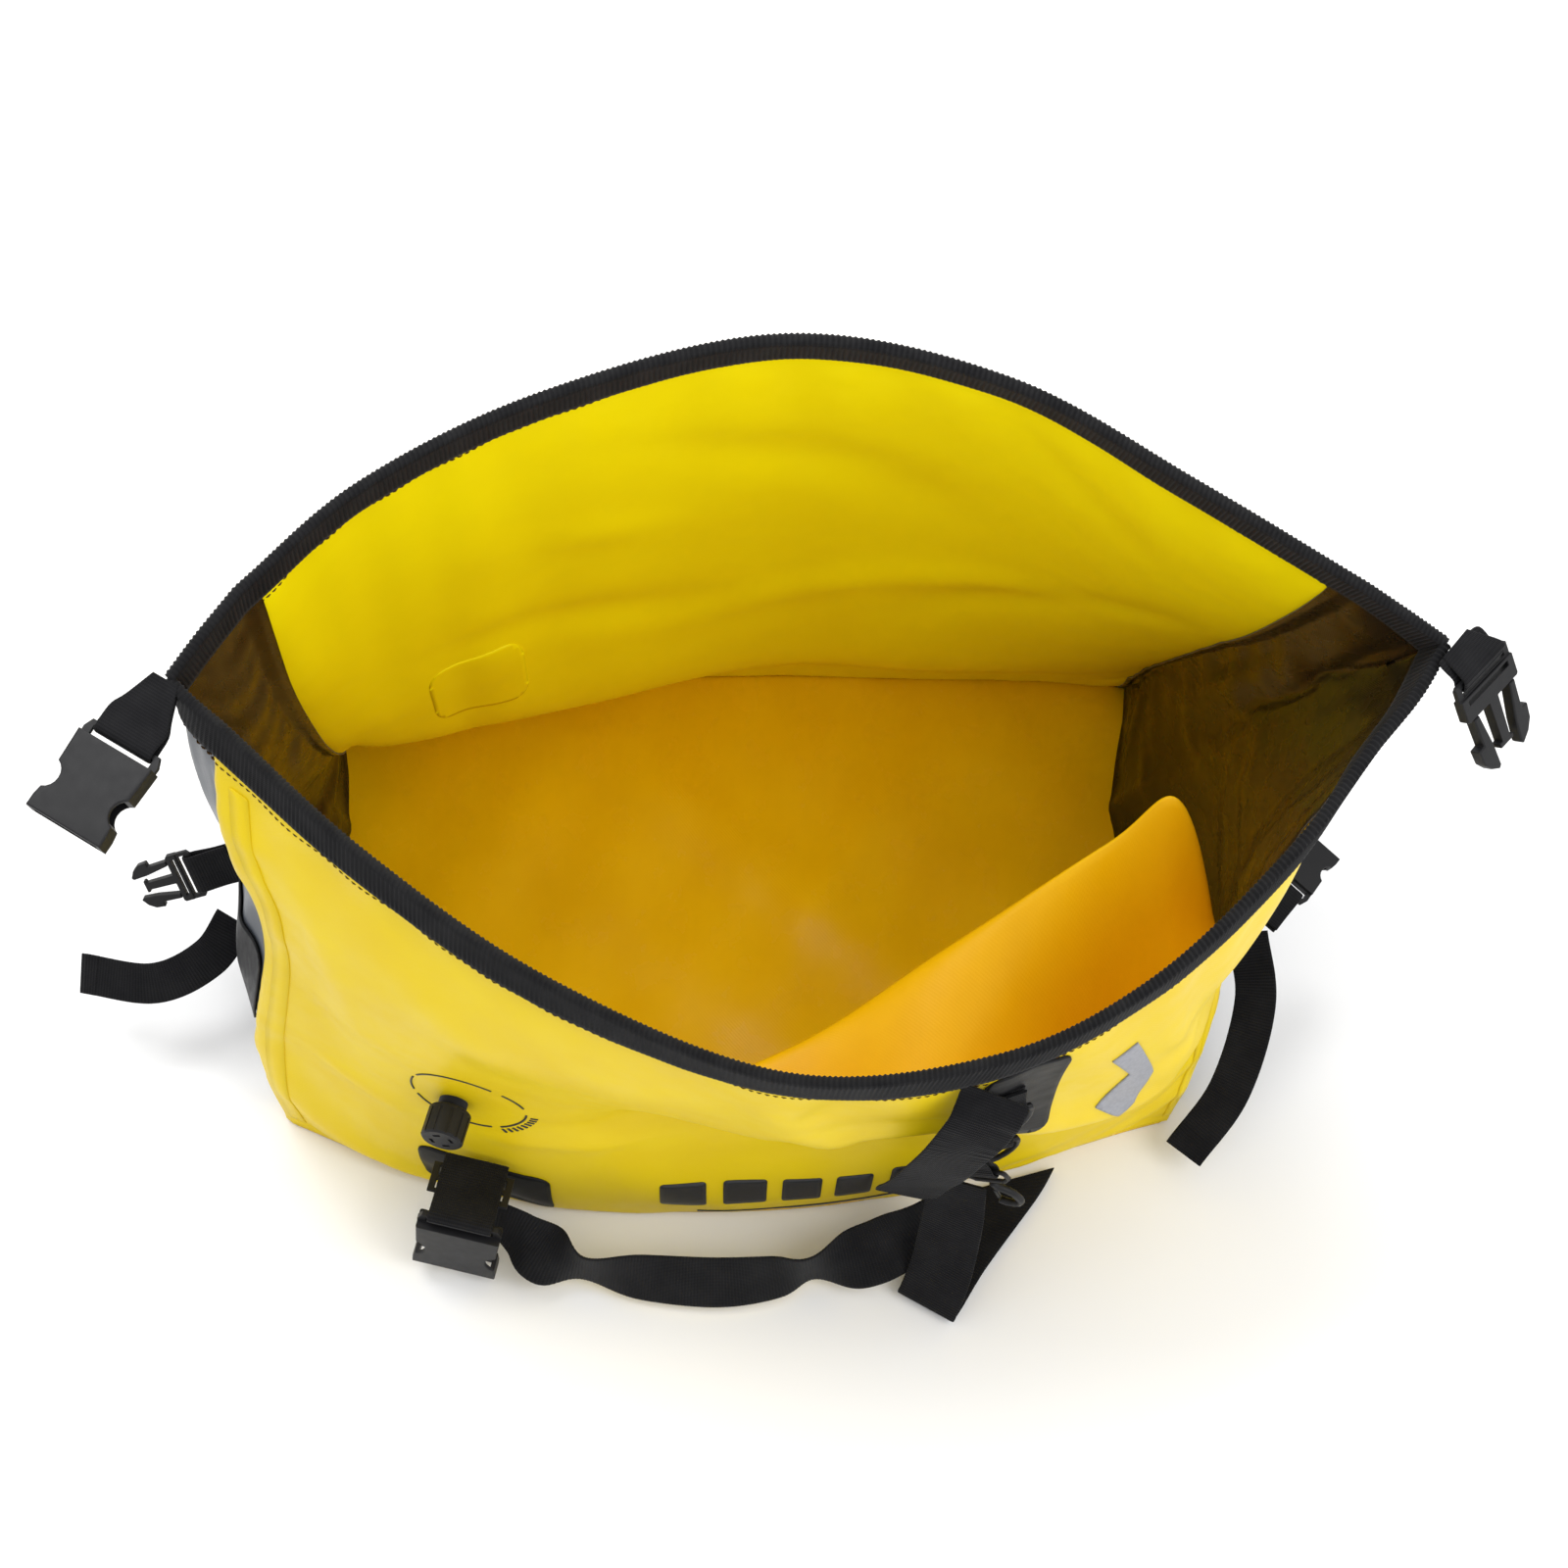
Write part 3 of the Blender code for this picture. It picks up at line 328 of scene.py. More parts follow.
YELLOW = coated("yellow_fabric", (0.78, 0.58, 0.004), (0.74, 0.53, 0.003), 0.42, coat=0.04, specular=0.24)
INNER_YELLOW = coated(
    "yellow_fabric_inside", (0.94, 0.80, 0.001), (0.91, 0.76, 0.001), 0.46, coat=0, specular=0.16
)
# The floor's inside: the yellow fabric tinted orange, painted shade and painted yellow bounce light of the
# bag's interior.
FLOOR_PAINTED_SHADE = coated(
    "floor_fabric_painted_shade", (0.92, 0.56, 0.002), (0.86, 0.50, 0.001), 0.24, coat=0.25, specular=0.35
)
SLATE = coated("grey_fabric", (0.085, 0.096, 0.112), (0.062, 0.070, 0.084), 0.42)
# The front's inner face: the yellow fabric darkened to orange-brown, painted shade for the shaded inside of
# the folded front.
FRONT_INSIDE_PAINTED_SHADE = coated(
    "front_inside_painted_shade", (0.76, 0.43, 0.001), (0.70, 0.38, 0.001), 0.44, coat=0, specular=0.18
)
DARK_INNER = coated(
    "dark_fabric_inside", (0.015, 0.010, 0.006), (0.010, 0.007, 0.004), 0.27, coat=0.12, specular=0.4
)
FILM = coated("black_film", (0.010, 0.010, 0.011), (0.007, 0.007, 0.008), 0.44, coat=0.0, specular=0.16)
WEBBING = woven("black_webbing", (0.011, 0.011, 0.012), (0.004, 0.004, 0.005), WEAVE)
BINDING = woven("black_binding", (0.016, 0.016, 0.017), (0.005, 0.005, 0.006), RIB)
THREAD = woven("brown_thread", (0.10, 0.048, 0.010), (0.06, 0.028, 0.006), 0.0008)
PLASTIC = moulded("black_plastic", (0.011, 0.011, 0.012), (0.009, 0.009, 0.010), 0.44)
RUBBER = moulded("seal_rubber", (0.03, 0.03, 0.03), (0.02, 0.02, 0.02), 0.7)
SILVER = reflective("reflective_grey")
INK = printed("printed_black", (0.013, 0.013, 0.015))


# ---- lines, nets and meshes ----------------------------------------------------------------------
def smooth_line(points, splits):
    """A smooth line through the points along the first axis, `splits` steps between each two."""
    line = np.asarray(points, float)
    slope = np.empty_like(line)
    slope[0], slope[-1] = line[1] - line[0], line[-1] - line[-2]
    slope[1:-1] = (line[2:] - line[:-2]) / 2
    t = (np.arange(splits) / splits).reshape((-1,) + (1,) * (line.ndim - 1))
    a, b, c, d = 2 * t**3 - 3 * t**2 + 1, t**3 - 2 * t**2 + t, 3 * t**2 - 2 * t**3, t**3 - t**2
    made = [a * line[i] + b * slope[i] + c * line[i + 1] + d * slope[i + 1] for i in range(len(line) - 1)]
    return np.vstack(made + [line[-1:]])


def fine_net(stations, across, up):
    columns = smooth_line(stations, across)
    return smooth_line(columns.swapaxes(0, 1), up).swapaxes(0, 1)


def hoop(across, up):
    """All spans as one ring of columns, and where each span starts and ends in it."""
    columns, reach = [], {}
    for name, stations in SPANS.items():
        made = fine_net(stations, across, up)
        reach[name] = (len(columns), len(columns) + len(made) - 1)
        columns += list(made[:-1])
    return np.array(columns), reach


def normals_of(grid, ring=False):
    across = np.roll(grid, -1, 0) - np.roll(grid, 1, 0) if ring else np.gradient(grid, axis=0)
    up = np.gradient(grid, axis=1)
    out = np.cross(across, up)
    length = np.linalg.norm(out, axis=2, keepdims=True)
    return out / np.maximum(length, 1e-12)


def smoothed(grid, rounds, ring=False):
    for _ in range(rounds):
        if ring:
            grid = (np.roll(grid, 1, 0) + np.roll(grid, -1, 0) + 2 * grid) / 4
        else:
            grid[1:-1] = (grid[:-2] + grid[2:] + 2 * grid[1:-1]) / 4
        grid[:, 1:-1] = (grid[:, :-2] + grid[:, 2:] + 2 * grid[:, 1:-1]) / 4
    return grid


def flat_place(grid):
    """How far each point of a grid lies along and up the flat fabric, in metres."""
    along = np.linalg.norm(np.diff(grid, axis=0), axis=2).mean(1)
    up = np.linalg.norm(np.diff(grid, axis=1), axis=2).mean(0)
    u = np.concatenate([[0], np.cumsum(along)])
    v = np.concatenate([[0], np.cumsum(up)])
    return np.stack(np.broadcast_arrays(u[:, None], v[None, :], np.zeros((1, 1))), axis=2)


def new_piece(name, points, faces, looks, body="bag", cloth=None, face_looks=None, smooth=True):
    mesh = bpy.data.meshes.new(name)
    mesh.from_pydata(np.asarray(points, float).reshape(-1, 3).tolist(), [], faces)
    if cloth is not None:
        layer = mesh.attributes.new("cloth", "FLOAT_VECTOR", "POINT")
        layer.data.foreach_set("vector", np.asarray(cloth, np.float32).ravel())
    for look in looks:
        mesh.materials.append(look)
    if face_looks is not None:
        mesh.polygons.foreach_set("material_index", np.asarray(face_looks, np.int32))
    mesh.polygons.foreach_set("use_smooth", np.full(len(faces), smooth))
    mesh.update()
    piece = bpy.data.objects.new(name, mesh)
    bpy.context.scene.collection.objects.link(piece)
    if body:
        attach(piece, body)
    return piece


def shell(name, outer, inner, looks, body="bag", cloth=None):
    """A closed thin sheet between two grids of points. looks are the outer and the inner material."""
    wide, high = outer.shape[:2]
    index = np.arange(wide * high).reshape(wide, high)
    corners = [index[:-1, :-1], index[1:, :-1], index[1:, 1:], index[:-1, 1:]]
    quads = np.stack(corners, axis=2).reshape(-1, 4)
    count = wide * high
    back = quads[:, ::-1] + count
    loop = list(index[:, 0]) + list(index[-1, 1:]) + list(index[-2::-1, -1]) + list(index[0, -2:0:-1])
    edge = [(a, a + count, b + count, b) for a, b in zip(loop, loop[1:] + loop[:1])]
    faces = quads.tolist() + back.tolist() + [tuple(int(i) for i in face) for face in edge]
    kinds = [0] * len(quads) + [1] * len(back) + [0] * len(edge)
    place = flat_place(outer) if cloth is None else cloth
    both = np.concatenate([place.reshape(-1, 3), place.reshape(-1, 3)])
    points = np.concatenate([outer.reshape(-1, 3), inner.reshape(-1, 3)])
    looks = looks if len(looks) == 2 else [looks[0], looks[0]]
    return new_piece(name, points, faces, looks, body, both, kinds)


# ---- the body's shape ----------------------------------------------------------------------------
# Soft creases pressed into the panels: the span, two ends in shares of its width and height,
# the half width of the crease in metres and its depth outwards (negative runs into the bag).
CREASES = [
    ("back", (0.66, 0.86), (0.42, 0.70), 0.020, 0.0040),
    ("back", (0.80, 0.72), (0.55, 0.60), 0.018, -0.0035),
    ("back", (0.50, 0.80), (0.30, 0.62), 0.024, 0.0040),
    ("back", (0.86, 0.50), (0.52, 0.40), 0.016, 0.0050),
    ("back", (0.60, 0.36), (0.12, 0.52), 0.014, -0.0045),
    ("back", (0.35, 0.34), (0.06, 0.60), 0.014, 0.0040),
    ("back", (0.30, 0.92), (0.12, 0.74), 0.014, 0.0025),
    ("front", (0.06, 0.88), (0.12, 0.52), 0.012, 0.0030),
    ("front", (0.04, 0.62), (0.10, 0.36), 0.012, -0.0030),
    ("front", (0.14, 0.84), (0.30, 0.66), 0.020, 0.0030),
    ("front", (0.05, 0.34), (0.16, 0.18), 0.012, 0.0030),
    ("front", (0.26, 0.34), (0.44, 0.46), 0.018, -0.0035),
    ("front", (0.22, 0.20), (0.40, 0.28), 0.014, 0.0030),
    ("front", (0.46, 0.88), (0.56, 0.62), 0.012, 0.0035),
    ("front", (0.56, 0.94), (0.50, 0.72), 0.010, -0.0030),
    ("front", (0.84, 0.80), (0.93, 0.64), 0.012, 0.0030),
    ("front", (0.44, 0.16), (0.70, 0.22), 0.014, -0.0030),
    ("left_front", (0.30, 0.80), (0.36, 0.20), 0.010, -0.0035),
    ("left_front", (0.70, 0.70), (0.60, 0.25), 0.009, 0.0035),
    ("left_back", (0.30, 0.70), (0.50, 0.20), 0.010, 0.0035),
    ("left_back", (0.70, 0.90), (0.72, 0.40), 0.009, -0.0035),
    ("right_front", (0.22, 0.95), (0.32, 0.35), 0.009, -0.0045),
    ("right_front", (0.55, 0.90), (0.52, 0.30), 0.009, 0.0045),
    ("right_front", (0.82, 0.80), (0.78, 0.25), 0.009, -0.0040),
    ("right_back", (0.25, 0.92), (0.30, 0.30), 0.009, 0.0045),
    ("right_back", (0.55, 0.85), (0.60, 0.25), 0.009, -0.0045),
    ("right_back", (0.80, 0.75), (0.85, 0.30), 0.008, 0.0035),
]


def creased(grid, reach):
    """Presses the soft creases into the hoop."""
    out = normals_of(grid, ring=True)
    shift = np.zeros(grid.shape[:2])
    high = grid.shape[1] - 1
    rows = np.arange(high + 1) / high
    for span, start, end, width, depth in CREASES:
        low, top = reach[span]
        part = np.arange(low, top + 1) % len(grid)
        flat = flat_place(grid[part])[:, :, :2]
        size = flat[-1, -1]
        a, b = np.array(start) * size, np.array(end) * size
        line = b - a
        share = np.clip(((flat - a) @ line) / (line @ line), 0, 1)
        away = np.linalg.norm(flat - a - share[:, :, None] * line, axis=2)
        fade = np.sin(pi * np.clip(share * 0.9 + 0.05, 0, 1))
        dent = depth * np.exp(-((away / width) ** 2)) * fade
        side = np.minimum(np.arange(len(part)), np.arange(len(part))[::-1]) / 6.0
        dent *= np.clip(side, 0, 1)[:, None]
        shift[part] += dent
    keep_still = np.clip(np.minimum(rows * 12, (1 - rows) * 10), 0, 1)
    return grid + out * (shift * keep_still)[:, :, None]


def settled(grid, reach):
    """Lets the fabric of the hoop hang for a moment, held at its rim, its floor seam and its side seams."""
    wide, high = grid.shape[:2]
    index = np.arange(wide * high).reshape(wide, high)
    after = np.roll(index, -1, 0)
    quads = np.stack([index[:, :-1], after[:, :-1], after[:, 1:], index[:, 1:]], axis=2).reshape(-1, 4)
    mesh = bpy.data.meshes.new("settling")
    mesh.from_pydata(grid.reshape(-1, 3).tolist(), [], quads.tolist())
    cloth = bpy.data.objects.new("settling", mesh)
    bpy.context.scene.collection.objects.link(cloth)
    held = np.full((wide, high), 0.10)
    held[:, 0] = held[:, -1] = 1.0
    held[:, -3:-1] = 0.7
    for low, _ in reach.values():
        held[low % wide] = 0.9
    group = cloth.vertex_groups.new(name="held")
    for value in np.unique(held):
        group.add([int(i) for i in index[held == value]], float(value), "REPLACE")
    modifier = cloth.modifiers.new("cloth", "CLOTH")
    settings = modifier.settings
    settings.quality = 6
    settings.mass = 0.5
    settings.tension_stiffness = 25
    settings.compression_stiffness = 12
    settings.shear_stiffness = 8
    settings.bending_stiffness = 2.0
    settings.tension_damping = 20
    settings.air_damping = 4
    settings.vertex_group_mass = "held"
    settings.pin_stiffness = 4
    settings.shrink_min = -0.012
    modifier.collision_settings.use_collision = False
    modifier.point_cache.frame_end = 18
    scene = bpy.context.scene
    for step in range(1, 19):
        scene.frame_set(step)
    graph = bpy.context.evaluated_depsgraph_get()
    moved = cloth.evaluated_get(graph).to_mesh()
    points = np.empty(wide * high * 3, np.float32)
    moved.vertices.foreach_get("co", points)
    scene.frame_set(1)
    bpy.data.objects.remove(cloth, do_unlink=True)
    shift = points.reshape(wide, high, 3).astype(float) - grid
    length = np.linalg.norm(shift, axis=2, keepdims=True)
    return shift * SAG_LIMIT * np.tanh(length / SAG_LIMIT) / np.maximum(length, 1e-9)


def body_grid():
    """The fine hoop with its creases and the sag from the simulation."""
    fine, reach = hoop(FINE, FINE)
    made = creased(fine, reach)
    coarse, coarse_reach = hoop(COARSE, COARSE)
    shift = settled(creased(coarse, coarse_reach), coarse_reach)
    ratio = FINE // COARSE
    ring = np.concatenate([shift, shift[:1]])
    dense = smooth_line(ring, ratio)[:-1]
    made = made + smooth_line(dense.swapaxes(0, 1), ratio).swapaxes(0, 1)
    made = smoothed(made, 1, ring=True)
    made[:, :, 2] = np.maximum(made[:, :, 2], 0.0022)
    return made, reach


GRID, REACH = body_grid()
OUT = normals_of(GRID, ring=True)


def columns_of(first_span, last_span, lap=LAP):
    """The ring indices from one span's first column to another's last, and a lap past each end."""
    low, high = REACH[first_span][0], REACH[last_span][1]
    if high < low:
        high += len(GRID)
    return np.arange(low - lap, high + lap + 1) % len(GRID)


def panel(name, spans, outside, looks):
    """One welded panel: its outer face lies `outside` the body's own surface."""
    picked = columns_of(*spans)
    grid, out = GRID[picked], OUT[picked]
    return shell(name, grid + out * outside, grid + out * (outside - FABRIC), looks)


def walls():
    front = panel("front_fabric", ("front", "front"), 0.0008, [YELLOW, FRONT_INSIDE_PAINTED_SHADE])
    back = panel("back_fabric", ("back", "back"), 0.0008, [YELLOW, INNER_YELLOW])
    left = panel("left_end_fabric", ("left_back", "left_front"), -0.0004, [SLATE, DARK_INNER])
    right = panel("right_end_fabric", ("right_front", "right_back"), -0.0004, [SLATE, DARK_INNER])
    for piece, node, size, cloth, slot in (
        (front, "front_panel", (0.753, 0.722), 0.248, "yellow_fabric"),
        (back, "back_panel", (0.678, 0.534), 0.288, "yellow_fabric"),
        (left, "end_panel_left", (0.309, 0.451), 0.067, "grey_fabric"),
        (right, "end_panel_right", (0.308, 0.452), 0.081, "grey_fabric"),
    ):
        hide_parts(node)


def seam_line(spans):
    """The ring's floor seam over some spans, as one line of points."""
    picked = columns_of(*spans, lap=0)
    return GRID[picked, 0]


def resampled(line, count):
    """The same line with evenly spaced points."""
    steps = np.linalg.norm(np.diff(line, axis=0), axis=1)
    far = np.concatenate([[0], np.cumsum(steps)])
    wanted = np.linspace(0, far[-1], count)
    return np.stack([np.interp(wanted, far, line[:, k]) for k in range(line.shape[1])], axis=1)


def base():
    """The floor of the bag: a soft sheet whose inside shows long shallow ripples."""
    count, depth = 150, 90
    near = resampled(seam_line(("left_front", "right_front")), count)
    far = resampled(seam_line(("right_back", "left_back"))[::-1], count)
    t = np.linspace(0, 1, depth)[None, :, None]
    grid = near[:, None] * (1 - t) + far[:, None] * t
    x, y = grid[:, :, 0], grid[:, :, 1]
    u = np.linspace(0, 1, count)[:, None]
    rim = np.clip(np.minimum(np.minimum(u, 1 - u) * 10, np.minimum(t[:, :, 0], 1 - t[:, :, 0]) * 8), 0, 1)
    swell = (
        0.0040 * np.exp(-(((x + 0.02) * 0.8 + (y - 0.05)) / 0.028) ** 2)
        * np.exp(-((x + 0.01) / 0.10) ** 2)
    )
    swell += (
        0.0055 * np.exp(-(((x - 0.05) - (y + 0.02) * 0.5) / 0.022) ** 2)
        * np.exp(-((y + 0.0) / 0.09) ** 2)
    )
    swell += (
        0.0035 * np.exp(-(((x + 0.15) + (y + 0.05) * 0.9) / 0.03) ** 2)
        * np.exp(-((y + 0.05) / 0.08) ** 2)
    )
    swell += 0.0014 * np.sin(x * 62 + 9 * y) * np.sin(y * 48 - 11 * x + 0.6)
    top = grid.copy()
    top[:, :, 2] = 0.0032 + np.maximum(swell + 0.002, 0) * rim
    low = grid.copy()
    low[:, :, 2] = 0.0004
    sides = shell("base_fabric", top, low, [FLOOR_PAINTED_SHADE, YELLOW])
    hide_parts("base_panel")


# ---- rim -----------------------------------------------------------------------------------------
def rim_run(first_span, last_span):
    """Rim frames over some spans: the rim point, straight down the fabric, and outwards."""
    picked = columns_of(first_span, last_span, lap=0)
    grid = GRID[picked]
    top = grid[:, -1]
    down = grid[:, -4] - top
    down /= np.linalg.norm(down, axis=1, keepdims=True)
    along = np.gradient(top, axis=0)
    out = np.cross(down, along)
    out /= np.linalg.norm(out, axis=1, keepdims=True)
    return np.concatenate([top, down, out], axis=1)


def unit(rows):
    return rows / np.linalg.norm(rows, axis=-1, keepdims=True)


def binding(name, node, spans, start=0.0005, end=0.0005):
    """Ribbed webbing folded over the rim. Its ribs run down each leg and meet in a herringbone on top."""
    frames = rim_run(*spans)
    steps = np.linalg.norm(np.diff(frames[:, :3], axis=0), axis=1)
    far = np.concatenate([[0], np.cumsum(steps)])
    s = np.arange(start, far[-1] - end, RIB / 5)
    rows = np.stack([np.interp(s, far, frames[:, k]) for k in range(9)], axis=1)
    top, down, out = rows[:, :3], unit(rows[:, 3:6]), unit(rows[:, 6:])
    reach = BINDING_CLEAR + BINDING_SKIN
    outer = [(reach, d) for d in (1.0, 0.85, 0.68, 0.5, 0.32, 0.14)]
    round_top = [(reach * cos(a) - 0.5 * (FABRIC + 0.0002) * (1 - cos(a)), -0.10 * sin(a))
                 for a in np.linspace(0.25, pi - 0.25, 7)]
    inner = [(-FABRIC - reach, d) for _, d in reversed(outer)]
    face = outer + round_top + inner
    core = [(BINDING_CLEAR * 0.7 * (1 if k < len(face) / 2 else -1) - (0 if k < len(face) / 2 else FABRIC),
             max(d, 0.02)) for k, (_, d) in enumerate(face)]
    rings, cloth = [], []
    spread = 0.0
    for k, (offset, share) in enumerate(face):
        slant = abs(share) * 2.2 * (1 if offset > -FABRIC / 2 else -1)
        rib = 0.00030 * np.cos(2 * pi * s / RIB + slant * 1.4)
        edge = 0.3 if k in (0, len(face) - 1) else 1.0
        swell = rib * edge
        push = np.sign(offset + FABRIC / 2) * swell
        lift = -swell if -0.2 < share < 0.1 else 0
        drop = (share * BINDING_LEG) + lift * np.ones(len(s))
        rings.append(top + out * (offset + push)[:, None] + down * drop[:, None])
        cloth.append(np.stack([s, np.full(len(s), spread), np.zeros(len(s))], axis=1))
        spread += 0.003
    for offset, share in reversed(core):
        rings.append(top + out * offset + down * share * BINDING_LEG)
        cloth.append(np.stack([s, np.full(len(s), spread), np.zeros(len(s))], axis=1))
    tube(name, np.array(rings), np.array(cloth), [BINDING], node)


def tube(name, rings, cloth, looks, node=None, body="bag"):
    """A closed solid: rings[k] is the k-th line of its section, carried along the piece."""
    sides, count = rings.shape[:2]
    index = np.arange(sides * count).reshape(sides, count)
    after = np.roll(index, -1, 0)
    corners = [index[:, :-1], index[:, 1:], after[:, 1:], after[:, :-1]]
    quads = np.stack(corners, axis=2).reshape(-1, 4).tolist()
    half = sides // 2
    for column, turn in ((index[:, 0], 1), (index[:, -1], -1)):
        # The section is two facing lines, so each cap is a ladder of quads between them.
        for k in range(half - 1):
            face = (column[k], column[k + 1], column[sides - 2 - k], column[sides - 1 - k])
            quads.append([int(i) for i in face[::turn]])
    piece = new_piece(name, rings.reshape(-1, 3), quads, looks, body, cloth.reshape(-1, 3))
    shape = bmesh.new()
    shape.from_mesh(piece.data)
    bmesh.ops.recalc_face_normals(shape, faces=shape.faces)
    shape.to_mesh(piece.data)
    shape.free()
    if node:
        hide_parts(*([node] if isinstance(node, str) else node))
    return piece


def stitches(name, lines, look, dash=STITCH, thick=0.0008):
    """Rows of thread dashes. Each line is rows of a point and the way out of the fabric."""
    points, faces, cloth = [], [], []
    for line in lines:
        place, out = line[:, :3], line[:, 3:]
        steps = np.linalg.norm(np.diff(place, axis=0), axis=1)
        far = np.concatenate([[0], np.cumsum(steps)])
        for s in np.arange(0.001, far[-1] - dash[0], sum(dash)):
            marks = (s, s + dash[0] / 2, s + dash[0])
            at = np.array([[np.interp(w, far, place[:, k]) for k in range(3)] for w in marks])
            up = unit(np.array([np.interp(s, far, out[:, k]) for k in range(3)]))
            along = unit(at[2] - at[0])
            side = unit(np.cross(up, along))
            first = len(points)
            for k, height in enumerate((0.0, 1.0, 0.0)):
                for a, b in ((-1, -0.6), (1, -0.6), (0.6, 0.7 * height), (-0.6, 0.7 * height)):
                    points.append(at[k] + side * a * thick * 0.55 + up * b * thick)
                    cloth.append((s, a * thick, 0))
            for k in (0, 4):
                for j in range(4):
                    i = (j + 1) % 4
                    faces.append((first + k + j, first + k + i, first + k + 4 + i, first + k + 4 + j))
            faces.append((first + 3, first + 2, first + 1, first))
            faces.append((first + 8, first + 9, first + 10, first + 11))
    return new_piece(name, points, faces, [look], "bag", cloth)


def rim_stitches():
    """The row of thread just inside the binding, on the inner and the outer face."""
    inside, outside = [], []
    for spans in (("left_front", "right_front"), ("right_back", "left_back")):
        picked = columns_of(*spans, lap=0)[4:-4]
        grid, out = GRID[picked], OUT[picked]
        step = np.linalg.norm(np.diff(grid, axis=1), axis=2)[:, ::-1].cumsum(1)
        depth = BINDING_LEG + 0.0062
        rows = np.argmax(step > depth, axis=1)
        back = np.arange(len(picked))
        beyond = step[back, rows]
        before = np.where(rows > 0, step[back, rows - 1], 0)
        share = (depth - before) / (beyond - before)
        high = grid.shape[1] - 1
        a, b = grid[back, high - rows], grid[back, high - rows - 1]
        place = a + (b - a) * share[:, None]
        way = out[back, high - rows]
        inside.append(np.concatenate([place - way * 0.0003, -way], axis=1))
        outside.append(np.concatenate([place + way * 0.0009, way], axis=1))
    stitches("rim_stitches_inside", inside, THREAD)
    stitches("rim_stitches_outside", outside, THREAD)


# ---- webbing -------------------------------------------------------------------------------------
def webbing(
    name, route, sides, widths, node=None, splits=10, body="bag", weave=WEAVE, hems=(), thick=WEB,
    oblique=False,
):
    """Flat woven strap along a route, with weft ribs, rounded selvedges and thickened hems.
    sides are its width directions at the route's points and widths its widths there."""
    centre = smooth_line(route, splits)
    across = smooth_line(sides, splits)
    width = smooth_line(np.array(widths, float)[:, None], splits)
    steps = np.linalg.norm(np.diff(centre, axis=0), axis=1)
    far = np.concatenate([[0], np.cumsum(steps)])
    s = np.arange(0, far[-1], weave / 4)
    pick = lambda rows: np.stack([np.interp(s, far, rows[:, k]) for k in range(rows.shape[1])], axis=1)
    centre, across, width = pick(centre), unit(pick(across)), pick(width)[:, 0]
    along = unit(np.gradient(centre, axis=0))
    if not oblique:
        across = unit(across - along * (across * along).sum(1, keepdims=True))
    face = unit(np.cross(along, across))
    shares = np.array([-1, -0.975, -0.90, -0.6, -0.3, 0, 0.3, 0.6, 0.90, 0.975, 1])
    thin = np.array([0.35, 0.85, 1, 1, 1, 1, 1, 1, 1, 0.85, 0.35])
    rib = 1 + 0.13 * np.cos(2 * pi * s / weave)
    swell = np.ones(len(s))
    for start, end in hems:
        low, high = (start * far[-1], end * far[-1])
        inside = np.clip((s - low) / 0.001, 0, 1) * np.clip((high - s) / 0.001, 0, 1)
        swell += 0.9 * inside
    half = thick / 2
    rings, cloth = [], []
    for turn in (1, -1):
        for share, t in list(zip(shares, thin))[::turn]:
            height = turn * half * t * rib * swell
            rings.append(centre + across * (share * width / 2)[:, None] + face * height[:, None])
            cloth.append(np.stack([s, share * width / 2 + 0.1 * turn, np.zeros(len(s))], axis=1))
    return tube(name, np.array(rings), np.array(cloth), [WEBBING], node, body)


def frame_of(origin, length, width):
    """A frame at `origin`: +X along length, +Y near width, +Z their normal."""
    x = Vector(length).normalized()
    y = Vector(width)
    y = (y - x * y.dot(x)).normalized()
    turn = Matrix((x, y, x.cross(y))).transposed().to_4x4()
    return Matrix.Translation(origin) @ turn


MOUTH_LEFT = frame_of((-0.318, -0.094, 0.349), (-0.53, -0.81, -0.245), (0.836, -0.547, 0))
MOUTH_RIGHT = frame_of((0.4075, -0.0575, 0.366), (0.35, -0.45, -0.82), (0.634, 0.761, -0.143))
SIDE_LEFT = frame_of((-0.318, -0.038, 0.100), (-0.94, -0.10, -0.324), (-0.33, 0.5, 0.8))
SIDE_RIGHT = frame_of((0.332, -0.052, 0.108), (0.6, 0.8, 0.01), (0.75, -0.56, -0.35))
BAR = 0.0015


def loop_route(place, lead, bulge=0.0):
    """A strap's two legs round a webbing bar: out over the bar, round it, and back under it."""
    turn = BAR + 0.0010 + WEB / 2
    side = 0.0010 + WEB / 2
    local = [(-lead, 0, side), (-lead * 0.62, 0, side), (-0.004, 0, turn)]
    local += [(turn * sin(a), 0, turn * cos(a)) for a in (0, pi / 4, pi / 2, 3 * pi / 4, pi)]
    local += [(-0.004, 0, -turn), (-lead * 0.62, 0, -side - bulge), (-lead, 0, -side)]
    return [place @ Vector(p) for p in local]


def across_of(place):
    return place.to_3x3() @ Vector((0, 1, 0))


def mouth_straps():
    side = across_of(MOUTH_LEFT)
    corner = Vector((-0.2975, -0.0625, 0.3590))
    middle = loop_route(MOUTH_LEFT, 0.022)
    route = [corner + Vector((0, 0, 0.0020))] + middle + [corner - Vector((0, 0, 0.0020))]
    widths = [0.017, 0.030] + [WIDE] * 9 + [0.030, 0.017]
    webbing("mouth_strap_left", route, [side] * 13, widths, "mouth_tab_left", 4)
    side = across_of(MOUTH_RIGHT)
    corner = Vector((0.3945, -0.0468, 0.3705))
    middle = loop_route(MOUTH_RIGHT, 0.02)[2:-2]
    route = [corner + Vector((0, 0, 0.0014))] + middle
    route += [MOUTH_RIGHT @ Vector((-0.012, 0, -0.009)), corner + Vector((0.001, 0, -0.0016))]
    widths = [0.026] + [WIDE] * (len(route) - 2) + [0.026]
    webbing("mouth_strap_right", route, [side] * len(route), widths, "mouth_tab_right", 4)


